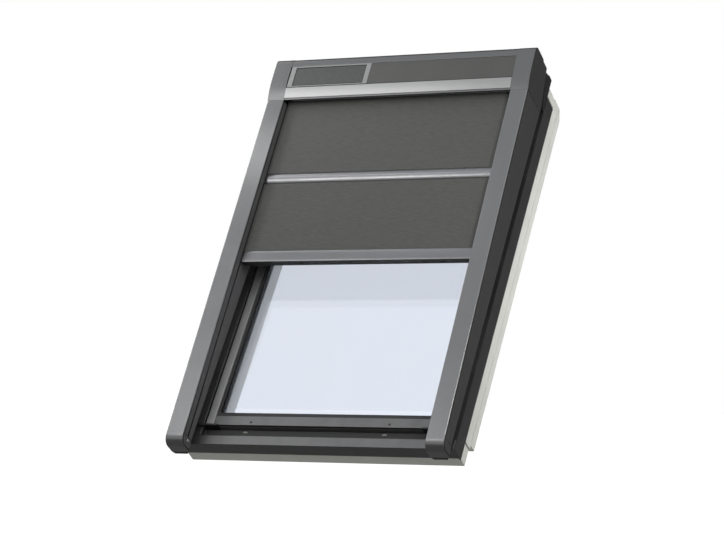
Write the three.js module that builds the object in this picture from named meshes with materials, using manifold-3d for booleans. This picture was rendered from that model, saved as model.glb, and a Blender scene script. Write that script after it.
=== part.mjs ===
// A centre-pivot roof window with a solar roller shutter mounted on its outside.
// Millimetres, +Z up. The window lies in a roof plane that leans back by the roof pitch.
// Inside the window group x runs across, y up the slope and z straight out of the roof.
// The origin is the middle of the lower end face of the sill.

import * as THREE from 'three';
import { mergeVertices } from 'three/addons/utils/BufferGeometryUtils.js';
import Module from 'manifold-3d';

const wasm = await Module();
wasm.setup();

// Overall sizes
const frameWidth = 780;
const frameLength = 1180;
const roofPitchDegrees = 54.5;
const shutterTiltDegrees = 3.2;
const fitGap = 0.3;
const overrun = 2;
const sheetWall = 2.5;

// Frame
const jambWidth = 56;
const frameShoulder = 60;
const coreInset = 5;
const grooveHeight = 26;
const grooveSize = 1.6;
const backPartStart = 65;
const sillFaceInset = 5;
const ledgeDepth = 25.5;
const ledgeDrop = 6;
const headDepth = 45;
const headBevelRun = 28;
const headBevelDepth = 17;
const exposedEnd = 30;

// Frame covers
const coverHeight = 110;
const coverRoom = 6;
const coverPlay = 0.5;
const coverEndGap = 5;
const coverNose = 4;
const sillCoverDepth = 28.5;
const sillCoverHeight = 43;
const sillLipHeight = 8;
const coverLip = 12;
const sealStripDepth = 24;
const sealStripHeight = 5;

// Sash
const sashSillGap = 6;
const sashHeadGap = 6;
const sashProud = 1;
const sashBack = 32;
const stileWidth = 28;
const bottomRailWidth = 42;
const topRailWidth = 42;
const rebate = 12;
const paneThickness = 6;
const innerPaneThickness = 5;
const cavity = 13;
const spacerInset = 5;
const spacerWidth = 7;
const sashCoverWidth = 22;
const sashCoverHeight = 11;
const sashCoverLength = 28;
const gasketHeight = 5;

// Sash pivots
const pivotHeight = 75;
const pivotPlateLength = 80;
const pivotPlateWidth = 50;
const pivotPlateWall = 2.2;
const pivotPinRadius = 6;
const pivotPlay = 1;
const runningGap = 0.4;

// Control bar on the room side of the sash
const barSpan = 540;
const barOffset = 26;
const barHeight = 22;
const barThickness = 9;
const barArmWidth = 12;
const barArmLength = 34;
const barPinRadius = 3;
const barArcDegrees = [-30, 120];
const barCarrierDepth = 14;
const barCarrierLength = 30;
const barCarrierFoot = 3;

// Shutter rails
const railWidth = 50;
const railDepth = 48;
const railLift = 23;
const railWall = 3;
const railStart = -8;
const railEndReach = 32;
const railNoseRadius = 24;
const chamberDepth = 17;
const slotFront = 25;
const slotDepth = 6;
const slotPlay = 1;
const trackClearance = 2;
const trackLength = 235;
const armSlotStart = 25;
const armSlotLength = 200;
const armSlotInset = 14;
const armSlotWidth = 14;
const railFootDrop = 12;
const railFootInset = 2;
const railFootLength = 27;

// Headbox
const headboxLength = 142;
const headboxOverhang = 27;
const capBulge = 8;
const lowBulgeShare = 0.8;
const capShoulder = 24;
const capCrownRun = 12;
const capCrownDrop = 9;
const capStep = 5;
const capStepRun = 7;
const capStepDepth = 51;
const flangeLap = 6;
const headboxDepth = 86;
const headboxBackBevel = 26;
const recessStart = 35;
const recessEndInset = 39;
const recessDepth = 4;
const trimThickness = 2.5;
const trimLength = 32;
const panelThickness = 3;
const solarSpan = 245;
const solarSideBorder = 12;
const solarEndBorder = 4;
const solarLipHeight = 1.5;
const flangeStart = 33;
const batteryLength = 240;
const batteryWidth = 24;
const batteryDepth = 26;

// Roller inside the headbox
const rollerRise = 66;
const rollerDepth = 60;
const tubeRadius = 20;
const tubeWall = 1.5;
const rollRadius = 27;
const tubeEndInset = 16;
const rollEndInset = 22;
const bracketWall = 3;
const bracketHalf = 26;
const stubLength = 14;
const motorRadius = 16;
const motorLength = 260;

// Curtain
const fabricDepth = 28;
const fabricThickness = 1.2;
const fabricSideGap = 1;
const slatSideGap = 3;
const slatHeight = 36;
const slatBulge = 5;
const slatBack = 2;
const tongueLength = 7;
const tongueInset = 4;
const slatPitch = 286;
const lastPanel = 261;
const parkedPitch = 74;
const topSlatDrop = 35;
const weightHeight = 37;
const weightFront = 21.5;
const weightDepth = 22.5;
const weightSideGap = 5;
const panelTopGap = 4;

// Shutter hinges and lower guides
const hingeRise = 10;
const hingeLift = 37;
const hingeRadius = 9;
const hingePinRadius = 4;
const bracketReach = 88;
const bracketOverhang = 26;
const bracketInset = 1;
const bracketWidth = 18;
const bracketArcDegrees = [-10, 130];
const lugWall = 6;
const lugGap = 1;
const wheelRadius = 8.5;
const wheelSideGap = 4.7;
const wheelPinRadius = 3;
const armThickness = 6;
const armWidth = 12;
const armLength = 38;
const guideClearance = 1;

// Derived places, all in window coordinates
const half = frameWidth / 2;
const jambInner = half - jambWidth;
const frameCore = coverHeight - coverRoom;
const sillCoverReach = half - sheetWall - fitGap;
const sillDepth = sillCoverDepth + ledgeDepth;
const sillLedge = coverHeight - coverLip - ledgeDrop;
const sashGap = 2 * (pivotPlateWall + fitGap) + pivotPlay;
const sashHalf = jambInner - sashGap;
const stileInner = sashHalf - stileWidth;
const sashStart = sillDepth + sashSillGap;
const sashFace = coverHeight + sashProud - sashCoverHeight;
const headStart = frameLength - headDepth;
const sashEnd = headStart - sashHeadGap;
const sashOpenStart = sashStart + bottomRailWidth;
const sashOpenEnd = sashEnd - topRailWidth;
const glassHalf = stileInner + rebate;
const glassStart = sashOpenStart - rebate;
const glassEnd = sashOpenEnd + rebate;
const glassBack = sashFace - paneThickness - cavity - innerPaneThickness;
const sashCoverTop = sashFace + sashCoverHeight;
const railInner = half - railWidth;
const shutterTilt = THREE.MathUtils.degToRad(shutterTiltDegrees);
const pivotPlace = (sashStart + sashEnd) / 2;
const railBackHeight = coverHeight + railLift;
const railFrontHeight = railBackHeight + railDepth;
const hingePlace = frameLength + hingeRise;
const hingeHeight = coverHeight + hingeLift;
const guidePlace = sillDepth + guideClearance;
const guideHeight = hingeHeight;
const trackHeight = guideHeight + wheelRadius + trackClearance;

// Looks of each material, read from the photograph
const finishes = {
  whiteFrame: { color: 0xc9cbc3, roughness: 0.55, metalness: 0 },
  whiteSash: { color: 0xdcdcd6, roughness: 0.5, metalness: 0 },
  cladding: { color: 0x3b3b3c, roughness: 0.45, metalness: 0.6 },
  paintedRail: { color: 0x6b6b6a, roughness: 0.42, metalness: 0.6 },
  headbox: { color: 0x5f5f5e, roughness: 0.42, metalness: 0.6 },
  brushed: { color: 0xb4b4b0, roughness: 0.35, metalness: 0.9 },
  solarGlass: { color: 0x4c4d4c, roughness: 0.15, metalness: 0 },
  fabric: { color: 0x595955, roughness: 0.85, metalness: 0 },
  slat: { color: 0x77767a, roughness: 0.38, metalness: 0.7 },
  glass: { color: 0xc5d6e6, roughness: 0.05, metalness: 0 },
  rubber: { color: 0x1c1c1c, roughness: 0.8, metalness: 0 },
  steel: { color: 0x9b9b98, roughness: 0.4, metalness: 0.9 },
  blackSteel: { color: 0x242424, roughness: 0.5, metalness: 0.5 },
  blackPlastic: { color: 0x26272a, roughness: 0.6, metalness: 0 },
  nylon: { color: 0xd8d6cf, roughness: 0.5, metalness: 0 },
};

// Bodies from an outline

function outlineOf(points) {
  return new THREE.Shape(points.map(([u, v]) => new THREE.Vector2(u, v)));
}

// Outline in y and z, pushed along x.
function alongX(points, start, end) {
  const body = new THREE.ExtrudeGeometry(outlineOf(points), { depth: end - start, bevelEnabled: false });
  const turn = new THREE.Matrix4().makeBasis(
    new THREE.Vector3(0, 1, 0),
    new THREE.Vector3(0, 0, 1),
    new THREE.Vector3(1, 0, 0),
  );
  return body.applyMatrix4(turn).translate(start, 0, 0);
}

// Outline in x and z, pushed along y.
function alongY(points, start, end) {
  const swapped = points.map(([x, z]) => [z, x]);
  const body = new THREE.ExtrudeGeometry(outlineOf(swapped), { depth: end - start, bevelEnabled: false });
  const turn = new THREE.Matrix4().makeBasis(
    new THREE.Vector3(0, 0, 1),
    new THREE.Vector3(1, 0, 0),
    new THREE.Vector3(0, 1, 0),
  );
  return body.applyMatrix4(turn).translate(0, start, 0);
}

function block([x0, x1], [y0, y1], [z0, z1]) {
  const body = new THREE.BoxGeometry(x1 - x0, y1 - y0, z1 - z0);
  return body.translate((x0 + x1) / 2, (y0 + y1) / 2, (z0 + z1) / 2);
}

function rodAlongX(radius, [x0, x1], y, z, sides = 20) {
  const body = new THREE.CylinderGeometry(radius, radius, x1 - x0, sides);
  return body.rotateZ(Math.PI / 2).translate((x0 + x1) / 2, y, z);
}

// Booleans on closed meshes

function toSolid(geometry) {
  const plain = geometry.clone();
  plain.deleteAttribute('normal');
  plain.deleteAttribute('uv');
  const merged = mergeVertices(plain);
  return new wasm.Manifold(new wasm.Mesh({
    numProp: 3,
    vertProperties: new Float32Array(merged.attributes.position.array),
    triVerts: new Uint32Array(merged.index.array),
  }));
}

function toGeometry(solid) {
  const mesh = solid.getMesh();
  const geometry = new THREE.BufferGeometry();
  geometry.setAttribute('position', new THREE.BufferAttribute(mesh.vertProperties, 3));
  geometry.setIndex(new THREE.BufferAttribute(mesh.triVerts, 1));
  geometry.computeVertexNormals();
  return geometry;
}

function cut(body, ...tools) {
  return toGeometry(tools.reduce((solid, tool) => solid.subtract(toSolid(tool)), toSolid(body)));
}

function join(...bodies) {
  return toGeometry(bodies.slice(1).reduce((solid, more) => solid.add(toSolid(more)), toSolid(bodies[0])));
}

// Points of an arc, angles in degrees, both ends included.
function arc(centreU, centreV, radius, from, to, steps = 6) {
  const points = [];
  for (let i = 0; i <= steps; i += 1) {
    const angle = THREE.MathUtils.degToRad(from + ((to - from) * i) / steps);
    points.push([centreU + radius * Math.cos(angle), centreV + radius * Math.sin(angle)]);
  }
  return points;
}

// A range on one side of the window: side is -1 on the left and 1 on the right.
function sideways(side, near, far) {
  return side < 0 ? [-far, -near] : [near, far];
}

const sides = [['left', -1], ['right', 1]];

function add(group, name, geometry, finish) {
  const mesh = new THREE.Mesh(geometry, new THREE.MeshStandardMaterial(finishes[finish]));
  mesh.name = name;
  group.add(mesh);
  return mesh;
}

// Frame

function jamb(side) {
  const start = sillDepth + fitGap;
  const backPart = [
    [backPartStart, 0], [frameLength - headBevelRun, 0], [frameLength, headBevelDepth],
    [frameLength, frameShoulder], [start, frameShoulder],
    [start, grooveHeight - grooveSize], [backPartStart, grooveHeight - grooveSize],
  ];
  const [outerX] = sideways(side, half, half);
  const low = alongX(backPart, ...sideways(side, jambInner, half));
  const core = block(
    sideways(side, jambInner + coreInset, half - coreInset),
    [start, frameLength - exposedEnd],
    [frameShoulder - overrun, frameCore],
  );
  const end = block(
    sideways(side, jambInner, half),
    [frameLength - exposedEnd, frameLength - coverNose],
    [frameShoulder - overrun, coverHeight],
  );
  const groove = block(
    [outerX - grooveSize, outerX + grooveSize],
    [-overrun, frameLength + overrun],
    [grooveHeight, grooveHeight + grooveSize],
  );
  return cut(join(low, core, end), groove);
}

// The sill's core lies between the jambs, and its low board runs on under their ends.
function sill() {
  const coreDepth = sillCoverDepth - sheetWall - coverPlay;
  const low = grooveHeight - grooveSize;
  const core = [
    [sillFaceInset, low], [sillDepth, low], [sillDepth, sillLedge], [coreDepth, sillLedge],
    [coreDepth, frameCore], [sillFaceInset, frameCore],
  ];
  const lip = coverHeight - sillCoverHeight + sillLipHeight;
  const board = [
    [sillFaceInset, low], [sillDepth, low], [sillDepth, frameShoulder],
    [coreDepth, frameShoulder], [coreDepth, lip], [sillFaceInset, lip],
  ];
  return join(
    alongX(core, -jambInner + fitGap, jambInner - fitGap),
    alongX(board, -sillCoverReach, sillCoverReach),
  );
}

function head() {
  const profile = [
    [headStart, 0], [frameLength - headBevelRun, 0], [frameLength, headBevelDepth],
    [frameLength, frameShoulder], [frameLength - coverNose, coverHeight], [headStart, coverHeight],
  ];
  return alongX(profile, -jambInner + fitGap, jambInner - fitGap);
}

// A folded cover whose outer wall runs on over the sill cover's end.
function jambCover(side) {
  const start = sillCoverDepth + fitGap;
  const foot = frameShoulder + fitGap;
  const shell = block(
    sideways(side, jambInner, half),
    [start, frameLength - exposedEnd - coverEndGap],
    [foot, coverHeight],
  );
  const hollow = block(
    sideways(side, jambInner + sheetWall, half - sheetWall),
    [start + sheetWall, frameLength],
    [frameShoulder - overrun, coverHeight - sheetWall],
  );
  const outerWall = block(
    sideways(side, half - sheetWall, half),
    [0, start + overrun],
    [foot, coverHeight],
  );
  return join(cut(shell, hollow), outerWall);
}

function sillCover() {
  const foot = coverHeight - sillCoverHeight;
  const profile = [
    [0, foot], [0, coverHeight], [sillCoverDepth, coverHeight],
    [sillCoverDepth, coverHeight - coverLip], [sillCoverDepth - sheetWall, coverHeight - coverLip],
    [sillCoverDepth - sheetWall, coverHeight - sheetWall],
    [sheetWall, coverHeight - sheetWall], [sheetWall, foot],
  ];
  return alongX(profile, -sillCoverReach, sillCoverReach);
}

function sillSeal() {
  const start = sillCoverDepth + fitGap;
  return block(
    [-jambInner + coreInset, jambInner - coreInset],
    [start, start + sealStripDepth],
    [sillLedge + fitGap, sillLedge + fitGap + sealStripHeight],
  );
}

function headHood() {
  const start = headStart;
  const end = frameLength + bracketOverhang;
  const base = coverHeight + fitGap;
  const outer = [
    [start, base], [end, base], [end, base + hingeRadius],
    [end - 2 * hingeRadius, hingeHeight - hingeRadius],
    [start + 2 * hingeRadius, hingeHeight - 2 * hingeRadius],
  ];
  const inner = [
    [start + 2 * hingeRadius, base - overrun], [end - sheetWall, base - overrun],
    [end - sheetWall, base + hingeRadius - sheetWall],
    [end - 2 * hingeRadius, hingeHeight - hingeRadius - sheetWall],
    [start + 2 * hingeRadius, hingeHeight - 2 * hingeRadius - sheetWall],
  ];
  const reach = half - bracketInset - bracketWidth - lugGap - lugWall - lugGap;
  const ends = reach - sheetWall;
  return cut(alongX(outer, -reach, reach), alongX(inner, -ends, ends));
}

function hingeBracket(side) {
  const start = frameLength - bracketReach;
  const end = frameLength + bracketOverhang;
  const base = coverHeight + fitGap;
  const outline = [
    [start, base], [end, base], [end, hingeHeight - 2 * hingeRadius],
    ...arc(hingePlace, hingeHeight, hingeRadius, ...bracketArcDegrees),
    [frameLength - exposedEnd, hingeHeight - hingeRadius],
    [start, base + hingeRadius],
  ];
  const near = half - bracketInset - bracketWidth;
  const plate = alongX(outline, ...sideways(side, near, half - bracketInset));
  const pinReach = sideways(side, near - lugGap - lugWall, near + overrun);
  return join(plate, rodAlongX(hingePinRadius, pinReach, hingePlace, hingeHeight));
}

function pivotPlate(side) {
  const far = jambInner - fitGap;
  const plate = block(
    sideways(side, far - pivotPlateWall, far),
    [pivotPlace - pivotPlateLength / 2, pivotPlace + pivotPlateLength / 2],
    [pivotHeight - pivotPlateWidth / 2, pivotHeight + pivotPlateWidth / 2],
  );
  const reach = sideways(side, far - pivotPlateWall - overrun, far + overrun);
  return cut(plate, rodAlongX(pivotPinRadius + runningGap, reach, pivotPlace, pivotHeight));
}

function buildFrame() {
  const group = new THREE.Group();
  for (const [name, side] of sides) {
    add(group, `frame_jamb_${name}`, jamb(side), 'whiteFrame');
    add(group, `jamb_cover_${name}`, jambCover(side), 'cladding');
    add(group, `hinge_bracket_${name}`, hingeBracket(side), 'blackSteel');
    add(group, `pivot_plate_${name}`, pivotPlate(side), 'steel');
  }
  add(group, 'frame_sill', sill(), 'whiteFrame');
  add(group, 'frame_head', head(), 'whiteFrame');
  add(group, 'sill_cover', sillCover(), 'cladding');
  add(group, 'sill_seal', sillSeal(), 'rubber');
  add(group, 'head_hood', headHood(), 'cladding');
  return group;
}

// Sash

function stile(side) {
  const section = [
    [stileInner, sashBack], [sashHalf, sashBack], [sashHalf, sashFace],
    [glassHalf + fitGap, sashFace], [glassHalf + fitGap, glassBack - fitGap],
    [stileInner, glassBack - fitGap],
  ].map(([x, z]) => [side * x, z]);
  return alongY(side < 0 ? section.reverse() : section, sashStart, sashEnd);
}

function sashRail(outer, inner, glassEdge) {
  const profile = [
    [outer, sashBack], [inner, sashBack], [inner, glassBack - fitGap],
    [glassEdge, glassBack - fitGap], [glassEdge, sashFace], [outer, sashFace],
  ];
  return alongX(inner > outer ? profile : profile.reverse(), -stileInner + fitGap, stileInner - fitGap);
}

function pane(back, thickness) {
  return block([-glassHalf, glassHalf], [glassStart, glassEnd], [back, back + thickness]);
}

// A flat ring between two rectangles that are given by half width, start and end.
function ring([outerHalf, outerStart, outerEnd], [innerHalf, innerStart, innerEnd], [back, face]) {
  const plate = block([-outerHalf, outerHalf], [outerStart, outerEnd], [back, face]);
  const hole = block([-innerHalf, innerHalf], [innerStart, innerEnd], [back - overrun, face + overrun]);
  return cut(plate, hole);
}

function spacer() {
  const outer = [glassHalf - spacerInset, glassStart + spacerInset, glassEnd - spacerInset];
  const inner = [outer[0] - spacerWidth, outer[1] + spacerWidth, outer[2] - spacerWidth];
  const back = glassBack + innerPaneThickness;
  return ring(outer, inner, [back + fitGap, back + cavity - fitGap]);
}

function glazingGasket() {
  const coverInner = sashHalf - sashCoverWidth - fitGap;
  const outer = [coverInner, sashStart + sashCoverLength + fitGap, sashEnd - sashCoverLength - fitGap];
  const inner = [stileInner, sashOpenStart, sashOpenEnd];
  return ring(outer, inner, [sashFace + fitGap, sashFace + fitGap + gasketHeight]);
}

// A folded sheet cap over one member of the sash: outer edge, inner edge, in section.
function sashCoverSection(outer, inner) {
  const inward = Math.sign(inner - outer) * sheetWall;
  const foot = sashFace + fitGap;
  const ceiling = sashCoverTop - sheetWall;
  return [
    [outer, foot], [outer, sashCoverTop], [inner, sashCoverTop], [inner, foot],
    [inner - inward, foot], [inner - inward, ceiling], [outer + inward, ceiling], [outer + inward, foot],
  ];
}

function sideCover(side) {
  const outer = side * (sashHalf - fitGap);
  const section = sashCoverSection(outer, side * (sashHalf - sashCoverWidth));
  return alongY(section, sashStart, sashEnd);
}

function crossCover(outer, inner) {
  const reach = sashHalf - sashCoverWidth - fitGap;
  return alongX(sashCoverSection(outer, inner), -reach, reach);
}

function pivotPin(side) {
  const near = sashHalf + fitGap;
  const plate = block(
    sideways(side, near, near + pivotPlateWall),
    [pivotPlace - pivotPlateLength / 2, pivotPlace + pivotPlateLength / 2],
    [pivotHeight - pivotPlateWidth / 2, sashFace],
  );
  const pin = rodAlongX(pivotPinRadius, sideways(side, near, jambInner - fitGap), pivotPlace, pivotHeight);
  return join(plate, pin);
}

// The lower guide of the shutter: a steel arm on the end of the sash, under the rail.
const neckOuter = railInner + armSlotInset + armSlotWidth - lugGap;
const wheelReach = [neckOuter + wheelSideGap, half - railWall - fitGap];
const guideMiddle = (guidePlace + sashStart - fitGap) / 2;

function guideArm(side) {
  const foot = block(
    sideways(side, sashHalf - armLength, sashHalf - overrun),
    [guidePlace, sashStart - fitGap],
    [sashFace - armLength, sashCoverTop + armThickness],
  );
  const strap = block(
    sideways(side, sashHalf - armLength, neckOuter),
    [guidePlace, sashStart - fitGap],
    [sashCoverTop, sashCoverTop + armThickness],
  );
  const neck = block(
    sideways(side, neckOuter - armWidth, neckOuter),
    [guidePlace, sashStart - fitGap],
    [sashCoverTop, guideHeight + wheelPinRadius + fitGap],
  );
  const reach = sideways(side, neckOuter - overrun, wheelReach[0] + wheelRadius);
  return join(foot, strap, neck, rodAlongX(wheelPinRadius, reach, guideMiddle, guideHeight, 12));
}

function guideWheel(side) {
  const [near, far] = wheelReach;
  const bore = sideways(side, near - overrun, far + overrun);
  const wheel = rodAlongX(wheelRadius, sideways(side, near, far), guideMiddle, guideHeight);
  return cut(wheel, rodAlongX(wheelPinRadius + fitGap, bore, guideMiddle, guideHeight, 12));
}

const barPivotPlace = sashEnd - barCarrierLength / 2;
const barPivotHeight = sashBack - barCarrierDepth / 2;

function barCarrier() {
  const reach = barSpan / 2 - barArmWidth - fitGap;
  const foot = block(
    [-reach, reach],
    [sashEnd - barCarrierLength, sashEnd],
    [sashBack - fitGap - barCarrierFoot, sashBack - fitGap],
  );
  const ears = sides.map(([, side]) => block(
    sideways(side, reach - barArmWidth, reach),
    [sashEnd - barCarrierLength, sashEnd],
    [sashBack - barCarrierDepth, sashBack - fitGap],
  ));
  const pins = sides.map(([, side]) => rodAlongX(
    barPinRadius,
    sideways(side, reach - overrun, reach + barArmWidth),
    barPivotPlace,
    barPivotHeight,
    12,
  ));
  return join(foot, ...ears, ...pins);
}

function controlBar() {
  const far = barSpan / 2;
  const near = far - barArmWidth;
  const gripPlace = barPivotPlace - barArmLength;
  const gripBack = sashBack - barOffset;
  const grip = block([-far, far], [gripPlace - barHeight, gripPlace], [gripBack - barThickness, gripBack]);
  const arms = sides.map(([, side]) => alongX(
    [
      ...arc(barPivotPlace, barPivotHeight, 2 * barPinRadius, ...barArcDegrees),
      [gripPlace - overrun, gripBack], [gripPlace - overrun, gripBack - barThickness],
    ],
    ...sideways(side, near, far),
  ));
  const holes = sides.map(([, side]) => rodAlongX(
    barPinRadius + fitGap,
    sideways(side, near - overrun, far + overrun),
    barPivotPlace,
    barPivotHeight,
    12,
  ));
  return cut(join(grip, ...arms), ...holes);
}

function buildSash() {
  const group = new THREE.Group();
  for (const [name, side] of sides) {
    add(group, `sash_stile_${name}`, stile(side), 'whiteSash');
    add(group, `sash_cover_${name}`, sideCover(side), 'cladding');
    add(group, `pivot_pin_${name}`, pivotPin(side), 'steel');
    add(group, `guide_arm_${name}`, guideArm(side), 'blackSteel');
    add(group, `guide_wheel_${name}`, guideWheel(side), 'nylon');
  }
  add(group, 'sash_bottom_rail', sashRail(sashStart, sashOpenStart, glassStart - fitGap), 'whiteSash');
  add(group, 'sash_top_rail', sashRail(sashEnd, sashOpenEnd, glassEnd + fitGap), 'whiteSash');
  add(group, 'sash_cover_bottom', crossCover(sashStart, sashStart + sashCoverLength), 'cladding');
  add(group, 'sash_cover_top', crossCover(sashEnd, sashEnd - sashCoverLength), 'cladding');
  add(group, 'pane_outer', pane(sashFace - paneThickness, paneThickness), 'glass');
  add(group, 'pane_inner', pane(glassBack, innerPaneThickness), 'glass');
  add(group, 'pane_spacer', spacer(), 'blackPlastic');
  add(group, 'glazing_gasket', glazingGasket(), 'rubber');
  add(group, 'control_bar_carrier', barCarrier(), 'steel');
  add(group, 'control_bar', controlBar(), 'steel');
  return group;
}

// Shutter. Its group leans away from the window plane by the shutter tilt, so here
// y runs along the rails and z out of their front face, which lies at z = 0.

// A point of the window plane in the shutter's own y and z.
function inShutter(place, height) {
  const drop = height - railFrontHeight;
  return [
    place * Math.cos(shutterTilt) + drop * Math.sin(shutterTilt),
    drop * Math.cos(shutterTilt) - place * Math.sin(shutterTilt),
  ];
}

// Depth of a height above the window's back at a place along the rails.
function depthAt(along, height) {
  return (height - railFrontHeight) / Math.cos(shutterTilt) - along * Math.tan(shutterTilt);
}

const railEnd = frameLength + headboxOverhang - headboxLength;
const webFace = -(railWall + chamberDepth);
const slotBack = -slotFront - slotDepth;
const slotReach = railInner + railWall + tongueLength + slotPlay;
const trackInner = slotReach + sheetWall;
const hingeInShutter = inShutter(hingePlace, hingeHeight);

// The front chamber is closed, the slot under it guides the curtain, and the track beside the slot
// holds the guide wheel. Above the track the rail is hollow up to the headbox.
function rail(side) {
  const outer = [
    [railStart, depthAt(railStart, railBackHeight)], [railEnd, depthAt(railEnd, railBackHeight)],
    [railEnd, 0], [railStart, 0],
  ];
  const body = alongX(outer, ...sideways(side, railInner, half));
  const chamber = block(
    sideways(side, railInner + railWall, half - railWall),
    [railStart - overrun, railEnd + overrun],
    [webFace, -railWall],
  );
  const slot = block(
    sideways(side, railInner - overrun, slotReach),
    [railStart - overrun, railEnd + overrun],
    [slotBack, -slotFront],
  );
  const low = railStart - overrun;
  const high = railEnd + overrun;
  const floor = railBackHeight + railWall;
  const track = [
    [low, depthAt(low, floor)], [high, depthAt(high, floor)], [high, webFace - railWall],
    [trackLength, webFace - railWall], [trackLength, depthAt(trackLength, trackHeight)],
    [low, depthAt(low, trackHeight)],
  ];
  const lower = alongX(track, ...sideways(side, trackInner, half - railWall));
  const besideTrack = [
    [trackLength, slotBack - railWall], [trackLength, depthAt(trackLength, floor)],
    [high, depthAt(high, floor)], [high, slotBack - railWall],
  ];
  const inner = alongX(besideTrack, ...sideways(side, railInner + railWall, slotReach));
  const armSlot = alongX(
    [
      [armSlotStart, depthAt(armSlotStart, railBackHeight - railWall)],
      [armSlotStart + armSlotLength, depthAt(armSlotStart + armSlotLength, railBackHeight - railWall)],
      [armSlotStart + armSlotLength, depthAt(armSlotStart + armSlotLength, floor + railWall)],
      [armSlotStart, depthAt(armSlotStart, floor + railWall)],
    ],
    ...sideways(side, railInner + armSlotInset, railInner + armSlotInset + armSlotWidth),
  );
  return cut(body, chamber, slot, lower, inner, armSlot);
}

function railEndCap(side) {
  const start = railStart - fitGap;
  const tip = railStart - railEndReach;
  const nose = arc(tip + railNoseRadius, -railNoseRadius, railNoseRadius, 90, 180);
  const outline = [
    [start, 0], ...nose, [tip, depthAt(tip, railBackHeight) + railWall],
    [tip + railWall, depthAt(tip, railBackHeight)], [start, depthAt(start, railBackHeight)],
  ];
  const heel = tip + railFootInset;
  const toe = heel + railFootLength;
  const sole = railBackHeight - railFootDrop;
  const foot = [
    [heel, depthAt(heel, railBackHeight) + overrun], [heel, depthAt(heel, sole)],
    [toe, depthAt(toe, sole)], [toe, depthAt(toe, railBackHeight) + overrun],
  ];
  return join(
    alongX(outline, ...sideways(side, railInner, half)),
    alongX(foot, ...sideways(side, railInner + railFootInset, half - railFootInset)),
  );
}

const boxStart = railEnd + fitGap;
const boxEnd = boxStart + headboxLength;
const boxBack = -headboxDepth;
const floorDepth = depthAt(boxStart, railBackHeight);

// Side outline of the headbox caps: front bulge, crown, top with its step, back bevel, slope to the rail.
function capOutline(inset) {
  const bulgeEnd = boxEnd - capShoulder;
  const bulgeLength = bulgeEnd - boxStart;
  return [
    [boxStart, floorDepth + inset],
    [boxStart + headboxBackBevel, floorDepth + inset],
    [boxEnd - headboxBackBevel - inset / 2, boxBack - capCrownRun / 4 + inset],
    [boxEnd - capStep - inset, boxBack + inset],
    [boxEnd - capStep - inset, -capStepDepth - capStepRun],
    [boxEnd - inset, -capStepDepth],
    [boxEnd - inset, -capCrownDrop - inset / 2],
    [boxEnd - capCrownRun / 2 - inset / 2, -capCrownDrop / 8 - inset / 2],
    [boxEnd - capCrownRun - inset / 2, capBulge / 2 - inset / 2],
    [bulgeEnd, capBulge - inset],
    [boxStart + bulgeLength / 2, capBulge - inset],
    [boxStart + bulgeLength / 4, capBulge * lowBulgeShare - inset],
    [boxStart, -inset],
  ];
}

function headboxCap(side) {
  const shell = alongX(capOutline(0), ...sideways(side, railInner, half));
  const inner = capOutline(sheetWall).map(([y, z], i, all) => (
    i === 0 || i === all.length - 1 ? [y - overrun, z] : [y, z]
  ));
  return cut(shell, alongX(inner, ...sideways(side, railInner - overrun, half - sheetWall)));
}

// The wall between the caps, folded round the front and the top of the headbox.
const bodyHalf = railInner - fitGap;
const recessLength = headboxLength - recessStart - recessEndInset;

function headboxFront() {
  const recess = boxStart + recessStart;
  const recessTop = recess + recessLength;
  const skin = capBulge - recessDepth;
  const crown = boxEnd - capCrownRun;
  const wall = sheetWall;
  const outline = [
    [boxStart, 0], [recess, skin], [recessTop, skin], [recessTop, capBulge],
    [crown, capBulge / 2], [boxEnd - wall, -capCrownDrop / 2], [boxEnd - wall / 2, -capCrownDrop],
    [boxEnd - wall / 2, -capStepDepth], [boxEnd - 2 * wall, -capStepDepth],
    [boxEnd - 2 * wall, -capCrownDrop], [boxEnd - 2 * wall - wall / 2, -capCrownDrop / 2 - wall / 2],
    [crown - wall, capBulge / 2 - wall], [recessTop + wall, skin - wall], [recess, skin - wall],
    [boxStart, -wall],
  ];
  return alongX(outline, -bodyHalf, bodyHalf);
}

function headboxBack() {
  const wall = sheetWall;
  const top = boxEnd - capStep - wall / 2;
  const lap = flangeLap - capStepDepth;
  const corner = boxStart + headboxBackBevel;
  const outline = [
    [boxStart, -flangeStart], [boxStart, floorDepth], [corner, floorDepth],
    [boxEnd - headboxBackBevel, boxBack - capCrownRun / 4], [top, boxBack],
    [top, lap], [top - wall, lap], [top - wall, boxBack + wall],
    [boxEnd - headboxBackBevel, boxBack - capCrownRun / 4 + wall], [corner, floorDepth + wall],
    [boxStart + wall, floorDepth + wall], [boxStart + wall, -flangeStart],
  ];
  return alongX(outline, -bodyHalf, bodyHalf);
}

function trimStrip() {
  const lift = fitGap + trimThickness;
  const end = boxStart + trimLength;
  const rise = (capBulge - recessDepth) * (trimLength / recessStart);
  const outline = [[boxStart, fitGap], [end, rise + fitGap], [end, rise + lift], [boxStart, lift]];
  return alongX(outline, -bodyHalf, bodyHalf);
}

const panelStart = boxStart + recessStart + fitGap;
const panelEnd = panelStart + recessLength - 2 * fitGap;
const panelSeat = capBulge - recessDepth + fitGap;
const solarStart = -bodyHalf;
const solarEnd = solarStart + solarSpan;

function solarFrame() {
  const plate = block(
    [solarStart, solarEnd],
    [panelStart, panelEnd],
    [panelSeat, panelSeat + panelThickness + solarLipHeight],
  );
  const hole = block(
    [solarStart + solarSideBorder, solarEnd - solarSideBorder],
    [panelStart + solarEndBorder, panelEnd - solarEndBorder],
    [panelSeat - overrun, panelSeat + panelThickness + solarLipHeight + overrun],
  );
  return cut(plate, hole);
}

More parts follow.
